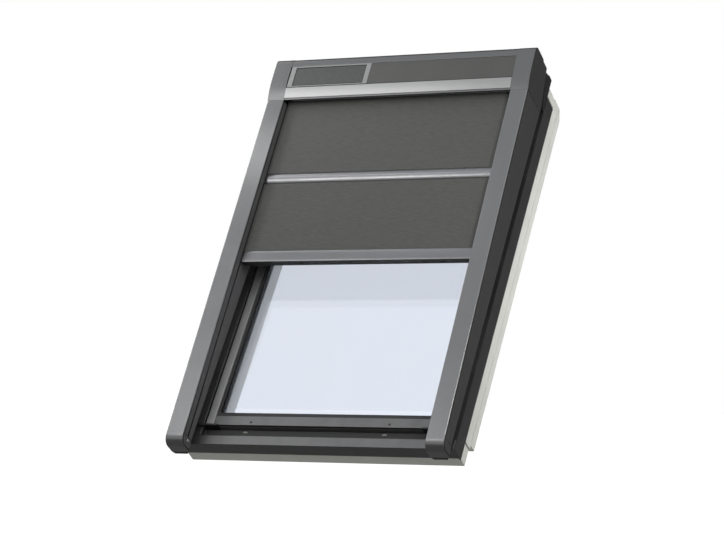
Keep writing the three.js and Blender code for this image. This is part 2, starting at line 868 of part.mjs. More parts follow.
function solarPanel() {
  return block(
    [solarStart + solarSideBorder + fitGap, solarEnd - solarSideBorder - fitGap],
    [panelStart + solarEndBorder + fitGap, panelEnd - solarEndBorder - fitGap],
    [panelSeat, panelSeat + panelThickness],
  );
}

function insetPanel() {
  const depth = [panelSeat, panelSeat + panelThickness];
  return block([solarEnd + fitGap, bodyHalf], [panelStart, panelEnd], depth);
}

function batteryPack() {
  const low = boxStart + sheetWall + fitGap;
  return block(
    [-batteryLength - rollEndInset, -rollEndInset],
    [low, low + batteryWidth],
    [floorDepth + sheetWall + fitGap, floorDepth + sheetWall + fitGap + batteryDepth],
  );
}

const rollerPlace = boxStart + rollerRise;

// Inner face of the sloping back wall at a place along the rails.
function backWallAt(place) {
  const low = boxStart + headboxBackBevel;
  const high = boxEnd - headboxBackBevel;
  const highDepth = boxBack - capCrownRun / 4;
  return floorDepth + sheetWall + ((highDepth - floorDepth) * (place - low)) / (high - low);
}

// A side plate that stands on the back wall, as high as the tube's upper half.
function bracketPlate(side) {
  const low = rollerPlace - bracketHalf;
  const high = rollerPlace + bracketHalf;
  const face = bracketHalf / 2 - rollerDepth;
  const outline = [
    [low, backWallAt(low) + fitGap], [high, backWallAt(high) + fitGap], [high, face], [low, face],
  ];
  return alongX(outline, ...sideways(side, bodyHalf - bracketWall, bodyHalf));
}

// The tube turns on a stub at the left end and on the head of its motor at the right end.
function tubeStub(side) {
  const reach = sideways(side, bodyHalf - bracketWall - stubLength, bodyHalf - overrun);
  return rodAlongX(tubeRadius - tubeWall - fitGap, reach, rollerPlace, -rollerDepth);
}

function idlerBracket() {
  return join(bracketPlate(-1), tubeStub(-1));
}

function tubeMotor() {
  const end = bodyHalf - bracketWall;
  const barrel = rodAlongX(motorRadius, [end - motorLength, end], rollerPlace, -rollerDepth);
  return join(bracketPlate(1), tubeStub(1), barrel);
}

function rollerTube() {
  const reach = bodyHalf - tubeEndInset + bracketWall;
  const tube = rodAlongX(tubeRadius, [-reach, reach], rollerPlace, -rollerDepth, 24);
  const bore = [-reach - overrun, reach + overrun];
  return cut(tube, rodAlongX(tubeRadius - tubeWall, bore, rollerPlace, -rollerDepth, 24));
}

function fabricRoll() {
  const reach = bodyHalf - rollEndInset;
  const roll = rodAlongX(rollRadius, [-reach, reach], rollerPlace, -rollerDepth, 24);
  const bore = [-reach - overrun, reach + overrun];
  return cut(roll, rodAlongX(tubeRadius + fitGap, bore, rollerPlace, -rollerDepth, 24));
}

// A lug on the back of each headbox cap, hanging on the pin of the frame's bracket.
function hingeLug(side) {
  const [place, depth] = hingeInShutter;
  const near = half - bracketInset - bracketWidth - lugGap - lugWall;
  const reach = sideways(side, near, near + lugWall);
  const backAt = boxBack - fitGap;
  const outline = [
    ...arc(place, depth, hingeRadius, -180, 0, 10),
    [boxEnd - capStep, backAt], [boxEnd - headboxBackBevel, backAt - capCrownRun / 4],
  ];
  const hole = sideways(side, near - overrun, near + lugWall + overrun);
  return cut(alongX(outline, ...reach), rodAlongX(hingePinRadius + fitGap, hole, place, depth));
}

// Curtain, at half way down, as in the photograph

const slatPlaces = {};
slatPlaces.slat_3 = boxEnd - topSlatDrop;
slatPlaces.slat_2 = slatPlaces.slat_3 - parkedPitch;
slatPlaces.slat_1 = slatPlaces.slat_2 - slatPitch;
const weightPlace = slatPlaces.slat_1 - lastPanel;
const fabricHalf = railInner - fabricSideGap;
const slatHalf = railInner - slatSideGap;
const weightHalf = railInner - weightSideGap;

// The end of a slat or of the bar that runs in the rail's slot.
function tongue(side, end, place, height) {
  return block(
    sideways(side, end - overrun, railInner + railWall + tongueLength),
    [place - height / 2, place + height / 2],
    [slotBack + fitGap, -slotFront - fitGap],
  );
}

function slat(place) {
  const bulge = [];
  const steps = 8;
  for (let i = 0; i <= steps; i += 1) {
    const share = i / steps;
    bulge.push([
      place + slatHeight / 2 - slatHeight * share,
      -fabricDepth + slatBack + slatBulge * Math.sin(Math.PI * share),
    ]);
  }
  const low = -fabricDepth - slatBack;
  const outline = [[place - slatHeight / 2, low], [place + slatHeight / 2, low], ...bulge];
  const body = alongX(outline, -slatHalf, slatHalf);
  const tongues = sides.map(([, side]) => tongue(side, slatHalf, place, slatHeight - 2 * tongueInset));
  return join(body, ...tongues);
}

function bottomBar() {
  const top = weightPlace + weightHeight / 2;
  const low = weightPlace - weightHeight / 2;
  const back = -weightFront - weightDepth;
  const outline = [
    [top, -fabricDepth - slatBack], [top, -weightFront - slatBack], [top - slatBack, -weightFront],
    [low + slatBack, -weightFront], [low, -weightFront - slatBack],
    [low, back], [low + tongueInset, back],
  ];
  const body = alongX(outline, -weightHalf, weightHalf);
  const tongues = sides.map(([, side]) => (
    tongue(side, weightHalf, weightPlace, weightHeight - 2 * tongueInset)
  ));
  return join(body, ...tongues);
}

function fabricPanel(low, high) {
  return block(
    [-fabricHalf, fabricHalf],
    [low + fitGap, high - fitGap],
    [-fabricDepth - fabricThickness / 2, -fabricDepth + fabricThickness / 2],
  );
}

function buildCurtain(group) {
  const halfSlat = slatHeight / 2;
  for (const [name, place] of Object.entries(slatPlaces)) add(group, name, slat(place), 'slat');
  add(group, 'bottom_bar', bottomBar(), 'slat');
  const levels = [
    weightPlace + weightHeight / 2,
    slatPlaces.slat_1 - halfSlat, slatPlaces.slat_1 + halfSlat,
    slatPlaces.slat_2 - halfSlat, slatPlaces.slat_2 + halfSlat,
    slatPlaces.slat_3 - halfSlat, slatPlaces.slat_3 + halfSlat,
    boxEnd - 2 * sheetWall - panelTopGap,
  ];
  for (let i = 0; i < levels.length / 2; i += 1) {
    add(group, `fabric_panel_${i + 1}`, fabricPanel(levels[2 * i], levels[2 * i + 1]), 'fabric');
  }
}

function buildShutter() {
  const group = new THREE.Group();
  for (const [name, side] of sides) {
    add(group, `side_rail_${name}`, rail(side), 'paintedRail');
    add(group, `rail_end_${name}`, railEndCap(side), 'paintedRail');
    add(group, `headbox_cap_${name}`, headboxCap(side), 'headbox');
    add(group, `hinge_lug_${name}`, hingeLug(side), 'blackSteel');
  }
  add(group, 'headbox_front', headboxFront(), 'headbox');
  add(group, 'headbox_back', headboxBack(), 'headbox');
  add(group, 'trim_strip', trimStrip(), 'brushed');
  add(group, 'solar_frame', solarFrame(), 'brushed');
  add(group, 'solar_panel', solarPanel(), 'solarGlass');
  add(group, 'inset_panel', insetPanel(), 'headbox');
  add(group, 'battery_pack', batteryPack(), 'blackPlastic');
  add(group, 'idler_bracket', idlerBracket(), 'steel');
  add(group, 'tube_motor', tubeMotor(), 'steel');
  add(group, 'roller_tube', rollerTube(), 'steel');
  add(group, 'fabric_roll', fabricRoll(), 'fabric');
  buildCurtain(group);
  group.position.z = railFrontHeight;
  group.rotation.x = shutterTilt;
  return group;
}

// The whole part, leaned back into the roof plane, with its origin on the sill's end face

const roofWindow = new THREE.Group();
roofWindow.add(buildFrame(), buildSash(), buildShutter());
roofWindow.rotation.x = THREE.MathUtils.degToRad(roofPitchDegrees);
const sillMiddle = (grooveHeight - grooveSize + frameShoulder) / 2;
const originInWindow = new THREE.Vector3(0, sillFaceInset, sillMiddle);
roofWindow.position.copy(originInWindow.applyEuler(roofWindow.rotation).negate());

export default roofWindow;
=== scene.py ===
"""Looks of a centre-pivot roof window with a solar roller shutter on its outside.

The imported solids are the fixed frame. Each sub-assembly class below rounds, details and dresses its own
pieces around them. Sizes are millimetres in one of two leaning planes: x runs across the window, y up the
slope and z out of the roof, and a plane turns them into metres in the row frame.
"""

from __future__ import annotations

import logging
import math
from collections.abc import Callable, Iterable, Sequence
from dataclasses import dataclass
from enum import Enum

import bmesh
import bpy
from bpy.types import Material, Mesh, Node, NodeSocket, NodeTree, Object
from mathutils import Matrix, Vector
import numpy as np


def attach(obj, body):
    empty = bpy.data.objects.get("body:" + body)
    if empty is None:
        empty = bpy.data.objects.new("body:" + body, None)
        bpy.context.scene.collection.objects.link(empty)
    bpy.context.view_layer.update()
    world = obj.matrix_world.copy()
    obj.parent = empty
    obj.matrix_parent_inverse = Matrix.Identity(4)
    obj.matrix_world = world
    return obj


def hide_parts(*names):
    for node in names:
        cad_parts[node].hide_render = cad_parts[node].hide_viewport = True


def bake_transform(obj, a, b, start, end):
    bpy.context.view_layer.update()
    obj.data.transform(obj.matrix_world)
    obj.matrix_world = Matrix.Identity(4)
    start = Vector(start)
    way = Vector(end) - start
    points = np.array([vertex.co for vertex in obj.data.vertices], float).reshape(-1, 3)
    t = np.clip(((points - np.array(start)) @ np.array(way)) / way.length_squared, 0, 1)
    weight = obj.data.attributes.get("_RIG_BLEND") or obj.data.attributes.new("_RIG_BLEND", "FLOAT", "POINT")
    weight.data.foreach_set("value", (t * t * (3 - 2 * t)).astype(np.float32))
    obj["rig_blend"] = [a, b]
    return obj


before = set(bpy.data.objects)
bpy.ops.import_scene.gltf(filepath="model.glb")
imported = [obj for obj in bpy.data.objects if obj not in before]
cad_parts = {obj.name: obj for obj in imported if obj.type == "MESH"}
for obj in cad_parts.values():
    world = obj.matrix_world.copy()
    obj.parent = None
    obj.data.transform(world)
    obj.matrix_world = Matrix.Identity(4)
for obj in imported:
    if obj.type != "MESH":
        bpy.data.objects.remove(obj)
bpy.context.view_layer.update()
LOG = logging.getLogger("roof_window")

MM = 0.001
ROOF_PITCH = math.radians(54.5)
SHUTTER_TILT = math.radians(3.2)
SILL_POINT = (5.0, 42.2)
RAIL_FRONT = 181.0

# Edges that turn more than SHARP stay sharp in the shading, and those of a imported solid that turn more
# than CREASE are rounded. Faces that turn less than FLAT are one face, and points closer than WELD one point.
SHARP = math.radians(38)
CREASE = math.radians(28)
FLAT = math.radians(0.6)
WELD = 0.00002

# Faces in a rounded edge: at an outline's ends, at a box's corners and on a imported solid. LEAST_SHARE keeps
# an inset from running out at a sharp corner, and a point within NEAR millimetres of a face lies on it.
EDGE_STEPS = 4
CORNER_STEPS = 3
BEVEL_STEPS = 3
LEAST_SHARE = 0.35
NEAR = 0.5

Point = tuple[float, float]
Reach = tuple[float, float]
Triple = tuple[float, float, float]


class Plane(Enum):
    """The leaning planes that sizes are given in."""

    WINDOW = "window"
    SHUTTER = "shutter"

    def matrix(self) -> Matrix:
        """Returns the matrix from millimetres in this plane to metres in the row frame."""
        lean = Matrix.Rotation(ROOF_PITCH, 4, "X")
        place = lean @ Matrix.Translation((0.0, -SILL_POINT[0], -SILL_POINT[1]))
        if self is Plane.SHUTTER:
            tilt = Matrix.Rotation(SHUTTER_TILT, 4, "X")
            place = place @ Matrix.Translation((0.0, 0.0, RAIL_FRONT)) @ tilt
        return Matrix.Scale(MM, 4) @ place


class Side(Enum):
    """Left and right as seen from outside."""

    LEFT = -1
    RIGHT = 1

    @property
    def word(self) -> str:
        """The side's name in lower case."""
        return self.name.lower()

    def span(self, near: float, far: float) -> Reach:
        """Returns the range from near to far on this side, lowest first."""
        return (-far, -near) if self is Side.LEFT else (near, far)


def depth_at(along: float, height: float) -> float:
    """Returns the shutter's z of a height above the window's back, at a place along the rails."""
    return (height - RAIL_FRONT) / math.cos(SHUTTER_TILT) - along * math.tan(SHUTTER_TILT)


# Outlines


def arc(centre: Point, radius: float, start: float, end: float, steps: int = 8) -> list[Point]:
    """Makes the points of an arc.

    Args:
        centre: The arc's centre.
        radius: Its radius.
        start: First angle in degrees.
        end: Last angle in degrees.
        steps: Number of stretches.

    Returns:
        The points, both ends included.
    """
    angles = (math.radians(start + (end - start) * i / steps) for i in range(steps + 1))
    return [(centre[0] + radius * math.cos(a), centre[1] + radius * math.sin(a)) for a in angles]


def rounded(corners: Sequence[tuple[float, ...]], steps: int = 5) -> list[Point]:
    """Rounds the corners of an outline.

    Args:
        corners: Points (u, v) or (u, v, radius); a corner without a radius stays sharp.
        steps: Stretches for each rounded corner.

    Returns:
        The outline's points, with a circular arc at each corner that has a radius.
    """
    made: list[Point] = []
    for i, corner in enumerate(corners):
        here = Vector(corner[:2])
        if len(corner) < 3:
            made.append(tuple(here))
            continue
        before = (Vector(corners[i - 1][:2]) - here).normalized()
        after = (Vector(corners[(i + 1) % len(corners)][:2]) - here).normalized()
        half = before.angle(after) / 2
        centre = here + (before + after).normalized() * (corner[2] / math.sin(half))
        reach = corner[2] / math.tan(half)
        first, last = here + before * reach - centre, here + after * reach - centre
        turn = math.atan2(first.cross(last), first.dot(last))
        for k in range(steps + 1):
            made.append(tuple(centre + Matrix.Rotation(turn * k / steps, 2) @ first))
    return made


def area(outline: Sequence[Point]) -> float:
    """Returns the signed area of an outline, positive when it runs anticlockwise."""
    pairs = zip(outline, [*outline[1:], outline[0]])
    return sum(u0 * v1 - u1 * v0 for (u0, v0), (u1, v1) in pairs) / 2


def inset(outline: Sequence[Point], amount: float) -> list[Point]:
    """Moves every edge of a closed outline inwards.

    Args:
        outline: The closed outline.
        amount: How far each edge moves.

    Returns:
        As many points as came in.
    """
    turn = 1.0 if area(outline) > 0 else -1.0
    made: list[Point] = []
    for i, (u, v) in enumerate(outline):
        here = Vector((u, v))
        before = (here - Vector(outline[i - 1])).normalized()
        after = (Vector(outline[(i + 1) % len(outline)]) - here).normalized()
        inward = Vector((-before.y - after.y, before.x + after.x)) * turn
        share = max(1.0 + before.dot(after), LEAST_SHARE)
        made.append(tuple(here + inward * (amount / share)))
    return made


# Meshes


class Form:
    """A mesh under construction, in millimetres in one plane."""

    AXES = {"x": (1, 2, 0), "y": (0, 2, 1), "z": (0, 1, 2)}

    def __init__(self, plane: Plane = Plane.SHUTTER) -> None:
        """Starts an empty form in a plane."""
        self.plane = plane
        self.mesh = bmesh.new()

    def loft(self, rings: Sequence[Sequence[Sequence[float]]], loop: bool = False) -> Form:
        """Joins rings of points into a closed body.

        Args:
            rings: Rings with the same number of points, in order.
            loop: True joins the last ring to the first, and False closes both ends with a face.

        Returns:
            This form.
        """
        made = [[self.mesh.verts.new(p) for p in ring] for ring in rings]
        pairs = list(zip(made, made[1:])) + ([(made[-1], made[0])] if loop else [])
        faces = []
        for low, high in pairs:
            for i in range(len(low)):
                j = (i + 1) % len(low)
                faces.append(self.mesh.faces.new((low[i], low[j], high[j], high[i])))
        if not loop:
            faces += [self.mesh.faces.new(made[0]), self.mesh.faces.new(made[-1])]
        bmesh.ops.recalc_face_normals(self.mesh, faces=faces)
        return self

    def place(self, axis: str, along: float, outline: Iterable[Point]) -> list[Vector]:
        """Returns the points of an outline that lies square to an axis at a place along it."""
        first, second, third = self.AXES[axis]
        points = []
        for u, v in outline:
            point = Vector((0.0, 0.0, 0.0))
            point[first], point[second], point[third] = u, v, along
            points.append(point)
        return points

    def prism(self, outline: Sequence[Point], axis: str, reach: Reach, edge: float | Reach = 0.0) -> Form:
        """Pushes an outline along an axis, with the edges of both ends rounded.

        Args:
            outline: Closed outline in the two other axes, in their order.
            axis: "x", "y" or "z".
            reach: First and last place along the axis.
            edge: Radius of the edges at both ends, or at the first and the last; 0 leaves them sharp.

        Returns:
            This form.
        """
        rings = []
        radii = edge if isinstance(edge, tuple) else (edge, edge)
        for end, radius, inward in zip(reach, radii, (1.0, -1.0)):
            turns = [math.pi / 2 * k / EDGE_STEPS for k in range(EDGE_STEPS + 1)] if radius else [math.pi / 2]
            ring = [(end + inward * radius * (1 - math.cos(t)), radius * (1 - math.sin(t))) for t in turns]
            rings += ring if inward > 0 else ring[::-1]
        return self.loft([self.place(axis, at, inset(outline, by) if by else outline) for at, by in rings])

    def band(self, near: Sequence[Point], far: Sequence[Point], reach: Reach, cuts: int = 1) -> Form:
        """Adds a strip of sheet between two lines of as many points, running along x.

        Args:
            near: Points (y, z) of one face.
            far: Points (y, z) of the other face, in the same order.
            reach: First and last x.
            cuts: Stretches along x.

        Returns:
            This form.
        """
        rings: list[list[Sequence[float]]] = []
        for (y0, z0), (y1, z1) in zip(near, far):
            there = [reach[0] + (reach[1] - reach[0]) * i / cuts for i in range(cuts + 1)]
            rings.append([(x, y0, z0) for x in there] + [(x, y1, z1) for x in reversed(there)])
        return self.loft(rings)

    def box(self, x: Reach, y: Reach, z: Reach, edge: float = 0.0) -> Form:
        """Adds a block with rounded edges.

        Args:
            x: Range across.
            y: Range up the slope.
            z: Range out of the roof.
            edge: Radius of every edge.

        Returns:
            This form.
        """
        corners = [(x[0], z[0]), (x[1], z[0]), (x[1], z[1]), (x[0], z[1])]
        outline = rounded([(*c, edge) for c in corners], CORNER_STEPS) if edge else corners
        return self.prism(outline, "y", y, edge)

    def lathe(self, profile: Sequence[Point], centre: Triple, axis: Triple, sides: int = 20) -> Form:
        """Turns a profile round an axis.

        Args:
            profile: Points (radius, height along the axis), from one end to the other.
            centre: A point on the axis, where the height is 0.
            axis: The axis's direction.
            sides: Number of sides.

        Returns:
            This form.
        """
        turn = Vector(axis).to_track_quat("Z", "Y").to_matrix()
        rings = []
        for radius, height in profile:
            circle = arc((0.0, 0.0), radius, 0.0, 360.0 * (sides - 1) / sides, sides - 1)
            rings.append([Vector(centre) + turn @ Vector((u, v, height)) for u, v in circle])
        return self.loft(rings)

    def object(self, name: str, sharp: float = SHARP) -> Object:
        """Makes the object, with its place in its mesh, in metres in the row frame.

        Args:
            name: The object's name.
            sharp: Edges that turn more than this stay sharp.

        Returns:
            The new object, smooth but for its sharp edges.
        """
        data = bpy.data.meshes.new(name)
        self.mesh.to_mesh(data)
        self.mesh.free()
        data.transform(self.plane.matrix())
        return evened(shown(name, data, sharp))

    def template(self, name: str) -> Object:
        """Makes an object whose mesh stays in millimetres about the origin, for a tree to copy."""
        data = bpy.data.meshes.new(name)
        self.mesh.to_mesh(data)
        self.mesh.free()
        return shown(name, data)


def linked(name: str, data: bpy.types.ID) -> Object:
    """Makes an object of a mesh, a lamp or a camera and links it to the scene."""
    made = bpy.data.objects.new(name, data)
    bpy.context.scene.collection.objects.link(made)
    return made


def shown(name: str, data: Mesh, sharp: float = SHARP) -> Object:
    """Makes a linked object of a mesh, smooth but for its sharp edges."""
    data.shade_smooth()
    data.set_sharp_from_angle(angle=sharp)
    return linked(name, data)


def evened(obj: Object) -> Object:
    """Leans the shading of rounded edges on the flat faces beside them, so that flats stay flat."""
    step = obj.modifiers.new("Even shading", "WEIGHTED_NORMAL")
    step.weight, step.keep_sharp = 100, True
    return applied(obj)


def applied(obj: Object) -> Object:
    """Turns an object's modifiers into plain mesh and removes them."""
    graph = bpy.context.evaluated_depsgraph_get()
    baked = bpy.data.meshes.new_from_object(obj.evaluated_get(graph), depsgraph=graph)
    obj.modifiers.clear()
    obj.data = baked
    return obj


def cut(obj: Object, *tools: Object) -> Object:
    """Takes tools out of an object.

    Args:
        obj: The object.
        tools: Closed shapes, used up by the cut.

    Returns:
        The object, as plain mesh.
    """
    for tool in tools:
        step = obj.modifiers.new("Cut", "BOOLEAN")
        step.operation, step.solver, step.object = "DIFFERENCE", "EXACT", tool
        step.material_mode = "TRANSFER"
    applied(obj)
    for tool in tools:
        bpy.data.objects.remove(tool, do_unlink=True)
    obj.data.set_sharp_from_angle(angle=SHARP)
    return evened(obj)


def welded(name: str, *parts: Object) -> Object:
    """Makes one object of several, which are used up."""
    whole = bmesh.new()
    for part in parts:
        whole.from_mesh(part.data)
        bpy.data.objects.remove(part, do_unlink=True)
    data = bpy.data.meshes.new(name)
    whole.to_mesh(data)
    whole.free()
    return evened(shown(name, data))


@dataclass(frozen=True)
class EdgeRule:
    """Which edges of a copied solid get a radius of their own.

    A rule takes the edges whose two ends both pass its test, given in millimetres in its plane.
    """

    plane: Plane
    radius: float
    test: Callable[[Vector], bool]


def rounded_copy(node: str, name: str, radius: float, *rules: EdgeRule) -> Object:
    """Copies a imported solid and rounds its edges.

    Args:
        node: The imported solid's name.
        name: The new object's name.
        radius: Radius of each sharp edge, in millimetres.
        rules: Edges with another radius.

    Returns:
        The new object.
    """
    form = bmesh.new()
    form.from_mesh(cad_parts[node].data)
    bmesh.ops.remove_doubles(form, verts=form.verts, dist=WELD)
    bmesh.ops.dissolve_limit(form, angle_limit=FLAT, verts=form.verts, edges=form.edges)
    widest = max([radius, *(rule.radius for rule in rules)])
    layers, label = form.edges.layers.float, "bevel_weight_edge"
    weight = layers.get(label) or layers.new(label)
    places = {rule.plane: rule.plane.matrix().inverted() for rule in rules}
    for edge in form.edges:
        if len(edge.link_faces) != 2 or edge.calc_face_angle(0.0) < CREASE:
            continue
        size = radius
        for rule in rules:
            if all(rule.test(places[rule.plane] @ v.co) for v in edge.verts):
                size = rule.radius
        edge[weight] = size / widest
    data = bpy.data.meshes.new(name)
    form.to_mesh(data)
    form.free()
    made = shown(name, data, CREASE)
    bevel = made.modifiers.new("Rounded edges", "BEVEL")
    bevel.limit_method = "WEIGHT"
    bevel.width = widest * MM
    bevel.segments = BEVEL_STEPS
    bevel.miter_outer = "MITER_ARC"
    bevel.harden_normals = True
    return applied(made)


# Materials

# A pattern is even, or drawn out up the slope or across. MIDDLE is where a noise's values mostly lie.
EVEN = (1.0, 1.0, 1.0)
ALONG = (1.0, 40.0, 1.0)
ACROSS = (40.0, 1.0, 1.0)
MIDDLE = {"From Min": 0.3, "From Max": 0.7}
WHITE = (1.0, 1.0, 1.0, 1.0)


def linear(hex_colour: str) -> tuple[float, float, float, float]:
    """Turns an sRGB hex colour into linear light with full alpha."""
    parts = [int(hex_colour[i:i + 2], 16) / 255 for i in (1, 3, 5)]
    return (*(p / 12.92 if p <= 0.04045 else ((p + 0.055) / 1.055) ** 2.4 for p in parts), 1.0)


def add_node(tree: NodeTree, kind: str, values: dict | None = None) -> Node:
    """Adds a node with its settings and links.

    Args:
        tree: The node tree.
        kind: The node's type name.
        values: Settings by input name or number, or by property name; a socket is linked to its input.

    Returns:
        The new node.
    """
    made = tree.nodes.new(kind)
    for key, value in (values or {}).items():
        if isinstance(value, NodeSocket):
            tree.links.new(value, made.inputs[key])
        elif isinstance(key, int) or key in made.inputs:
            made.inputs[key].default_value = value
        else:
            setattr(made, key, value)
    return made


def pattern_place(tree: NodeTree, stretch: Triple = EVEN) -> NodeSocket:
    """Gives a pattern its coordinates: millimetres across, up the slope and out of the roof.

    Args:
        tree: The material's node tree.
        stretch: How much longer the pattern is along each of them.

    Returns:
        The vector socket.
    """
    place = add_node(tree, "ShaderNodeTexCoord").outputs["Object"]
    level = add_node(tree, "ShaderNodeMapping", {"Rotation": (-ROOF_PITCH, 0.0, 0.0), "Vector": place})
    scale = tuple(1 / (MM * s) for s in stretch)
    return add_node(tree, "ShaderNodeMapping", {"Scale": scale, "Vector": level.outputs[0]}).outputs[0]


def grain(tree: NodeTree, size: float, stretch: Triple = EVEN, detail: float = 2.0) -> NodeSocket:
    """Makes a noise whose spots are about size millimetres across.

    Args:
        tree: The material's node tree.
        size: Spot size in millimetres.
        stretch: How much longer the spots are across, up the slope and out of the roof.
        detail: Octaves of finer noise.

    Returns:
        The noise's value socket, from 0 to 1.
    """
    noise = {"Scale": 1 / size, "Detail": detail, "Roughness": 0.55, "Vector": pattern_place(tree, stretch)}
    return add_node(tree, "ShaderNodeTexNoise", noise).outputs["Fac"]


@dataclass(frozen=True)
class Finish:
    """One real finish. Subclasses add what its surface shows.

    Its roughness wanders so far below and above its own, and its relief is depth millimetres high.
    """

    name: str
    slot: str
    dark: str
    light: str
    metallic: float = 0.0
    roughness: float = 0.5
    wander: Reach = (0.0, 0.0)
    depth: float = 0.0

    def material(self) -> Material:
        """Returns the material, made once."""
        known = bpy.data.materials.get(self.name)
        if known:
            return known
        made = bpy.data.materials.new(self.name)
        made.use_nodes = True
        shader = made.node_tree.nodes["Principled BSDF"]
        shader.inputs["Base Color"].default_value = linear(self.light)
        shader.inputs["Metallic"].default_value = self.metallic
        shader.inputs["Roughness"].default_value = self.roughness
        self.detail(made.node_tree, shader)
        return made

    def detail(self, tree: NodeTree, shader: Node) -> None:
        """Adds the surface's own pattern to the shader."""

    def tone(self, tree: NodeTree, shader: Node, value: NodeSocket) -> None:
        """Mixes the finish's two colours by a pattern's value."""
        share = add_node(tree, "ShaderNodeMapRange", {**MIDDLE, "Value": value}).outputs["Result"]
        colours = {"data_type": "RGBA", 6: linear(self.dark), 7: linear(self.light), 0: share}
        tree.links.new(add_node(tree, "ShaderNodeMix", colours).outputs[2], shader.inputs["Base Color"])

    def wear(self, tree: NodeTree, shader: Node, value: NodeSocket) -> None:
        """Lets the roughness wander with a pattern, below and above its own."""
        reach = {"To Min": self.roughness - self.wander[0], "To Max": self.roughness + self.wander[1]}
        worn = add_node(tree, "ShaderNodeMapRange", {**MIDDLE, **reach, "Value": value})
        tree.links.new(worn.outputs["Result"], shader.inputs["Roughness"])

    def bump(self, tree: NodeTree, shader: Node, height: NodeSocket) -> None:
        """Raises the surface by a pattern, by the finish's depth in millimetres."""
        relief = {"Strength": 0.6, "Distance": self.depth * MM, "Height": height}
        made = add_node(tree, "ShaderNodeBump", relief)
        tree.links.new(made.outputs["Normal"], shader.inputs["Normal"])


@dataclass(frozen=True)
class MetallicLacquer(Finish):
    """Stoved lacquer with aluminium flake on an extrusion: a soft sheen that breaks up a little.

    The flakes are far finer in life, and are drawn 0.8 mm wide so that they show at all.
    """

    flake: float = 0.8
    mark: float = 70.0
    line: float = 1.5
    stretch: Triple = EVEN
    wander: Reach = (0.03, 0.04)
    depth: float = 0.002

    def detail(self, tree: NodeTree, shader: Node) -> None:
        """Adds flake, cloudy handling marks and faint die lines along the extrusion."""
        self.tone(tree, shader, grain(tree, self.flake))
        self.wear(tree, shader, grain(tree, self.mark, detail=3.0))
        self.bump(tree, shader, grain(tree, self.line, self.stretch))


@dataclass(frozen=True)
class BrushedMetal(Finish):
    """Brushed and clear anodised aluminium: long fine scratches that stretch the highlight."""

    scratch: float = 0.6
    stretch: Triple = (60.0, 1.0, 1.0)
    wander: Reach = (0.06, 0.08)
    depth: float = 0.01

    def detail(self, tree: NodeTree, shader: Node) -> None:
        """Adds the scratches, in the colour, the sheen and the surface alike."""
        scratches = grain(tree, self.scratch, self.stretch, 3.0)
        self.tone(tree, shader, scratches)
        self.wear(tree, shader, scratches)
        self.bump(tree, shader, scratches)


@dataclass(frozen=True)
class SatinLacquer(Finish):
    """Satin lacquer on folded sheet: an even coat with faint orange peel and a little dust."""

    dust: float = 45.0
    peel: float = 2.0
    wander: Reach = (0.04, 0.06)
    depth: float = 0.02

    def detail(self, tree: NodeTree, shader: Node) -> None:
        """Adds dust in soft patches and the orange peel."""
        dust = grain(tree, self.dust, (1.0, 2.0, 1.0), 4.0)
        self.tone(tree, shader, dust)
        self.wear(tree, shader, dust)
        self.bump(tree, shader, grain(tree, self.peel))


@dataclass(frozen=True)
class MouldedSkin(Finish):
    """A moulded skin, of painted foam or of plastic: a fine even grain with slight shading."""

    grit: float = 1.2
    patch: float = 90.0
    wander: Reach = (0.03, 0.05)
    depth: float = 0.03

    def detail(self, tree: NodeTree, shader: Node) -> None:
        """Adds a slow change of tone and the mould's grain."""
        patches = grain(tree, self.patch, detail=3.0)
        self.tone(tree, shader, patches)
        self.wear(tree, shader, patches)
        self.bump(tree, shader, grain(tree, self.grit))


@dataclass(frozen=True)
class CoatedFabric(Finish):
    """Coated polyester cloth: a plain weave, its threads 0.5 mm apart in life.

    The weave is drawn with threads 1.6 mm apart, which is as fine as the picture can show.
    """

    thread: float = 1.6
    slub: float = 2.2
    sheen: float = 0.06
    gloss: float = 0.25
    depth: float = 0.12

    def detail(self, tree: NodeTree, shader: Node) -> None:
        """Adds warp and weft, thick and thin threads, and a soft sheen."""
        wave = {"Scale": math.pi / 10 / self.thread, "Distortion": 0.6, "Detail": 1.0, "Detail Scale": 0.4}
        wave["Vector"] = pattern_place(tree)
        ways = ({"bands_direction": way, **wave} for way in ("X", "Y"))
        warp, weft = (add_node(tree, "ShaderNodeTexWave", way).outputs["Fac"] for way in ways)
        weave = add_node(tree, "ShaderNodeMath", {"operation": "MULTIPLY", 0: warp, 1: weft}).outputs[0]
        slubs = grain(tree, self.slub, (9.0, 1.0, 1.0))
        mixed = add_node(tree, "ShaderNodeMath", {"operation": "MULTIPLY_ADD", 0: weave, 1: 0.35, 2: slubs})
        self.tone(tree, shader, mixed.outputs[0])
        shader.inputs["Sheen Weight"].default_value = self.sheen
        shader.inputs["Specular IOR Level"].default_value = self.gloss
        self.bump(tree, shader, weave)


@dataclass(frozen=True)
class FloatGlass(Finish):
    """Float glass with a faint cool cast, smooth and clear."""

    ior: float = 1.5
    wave: float = 120.0
    depth: float = 0.004

    def detail(self, tree: NodeTree, shader: Node) -> None:
        """Lets light through and leaves a slight roller wave on the surface."""
        shader.inputs["Transmission Weight"].default_value = 1.0
        shader.inputs["IOR"].default_value = self.ior
        self.bump(tree, shader, grain(tree, self.wave, (3.0, 1.0, 1.0), 0.0))


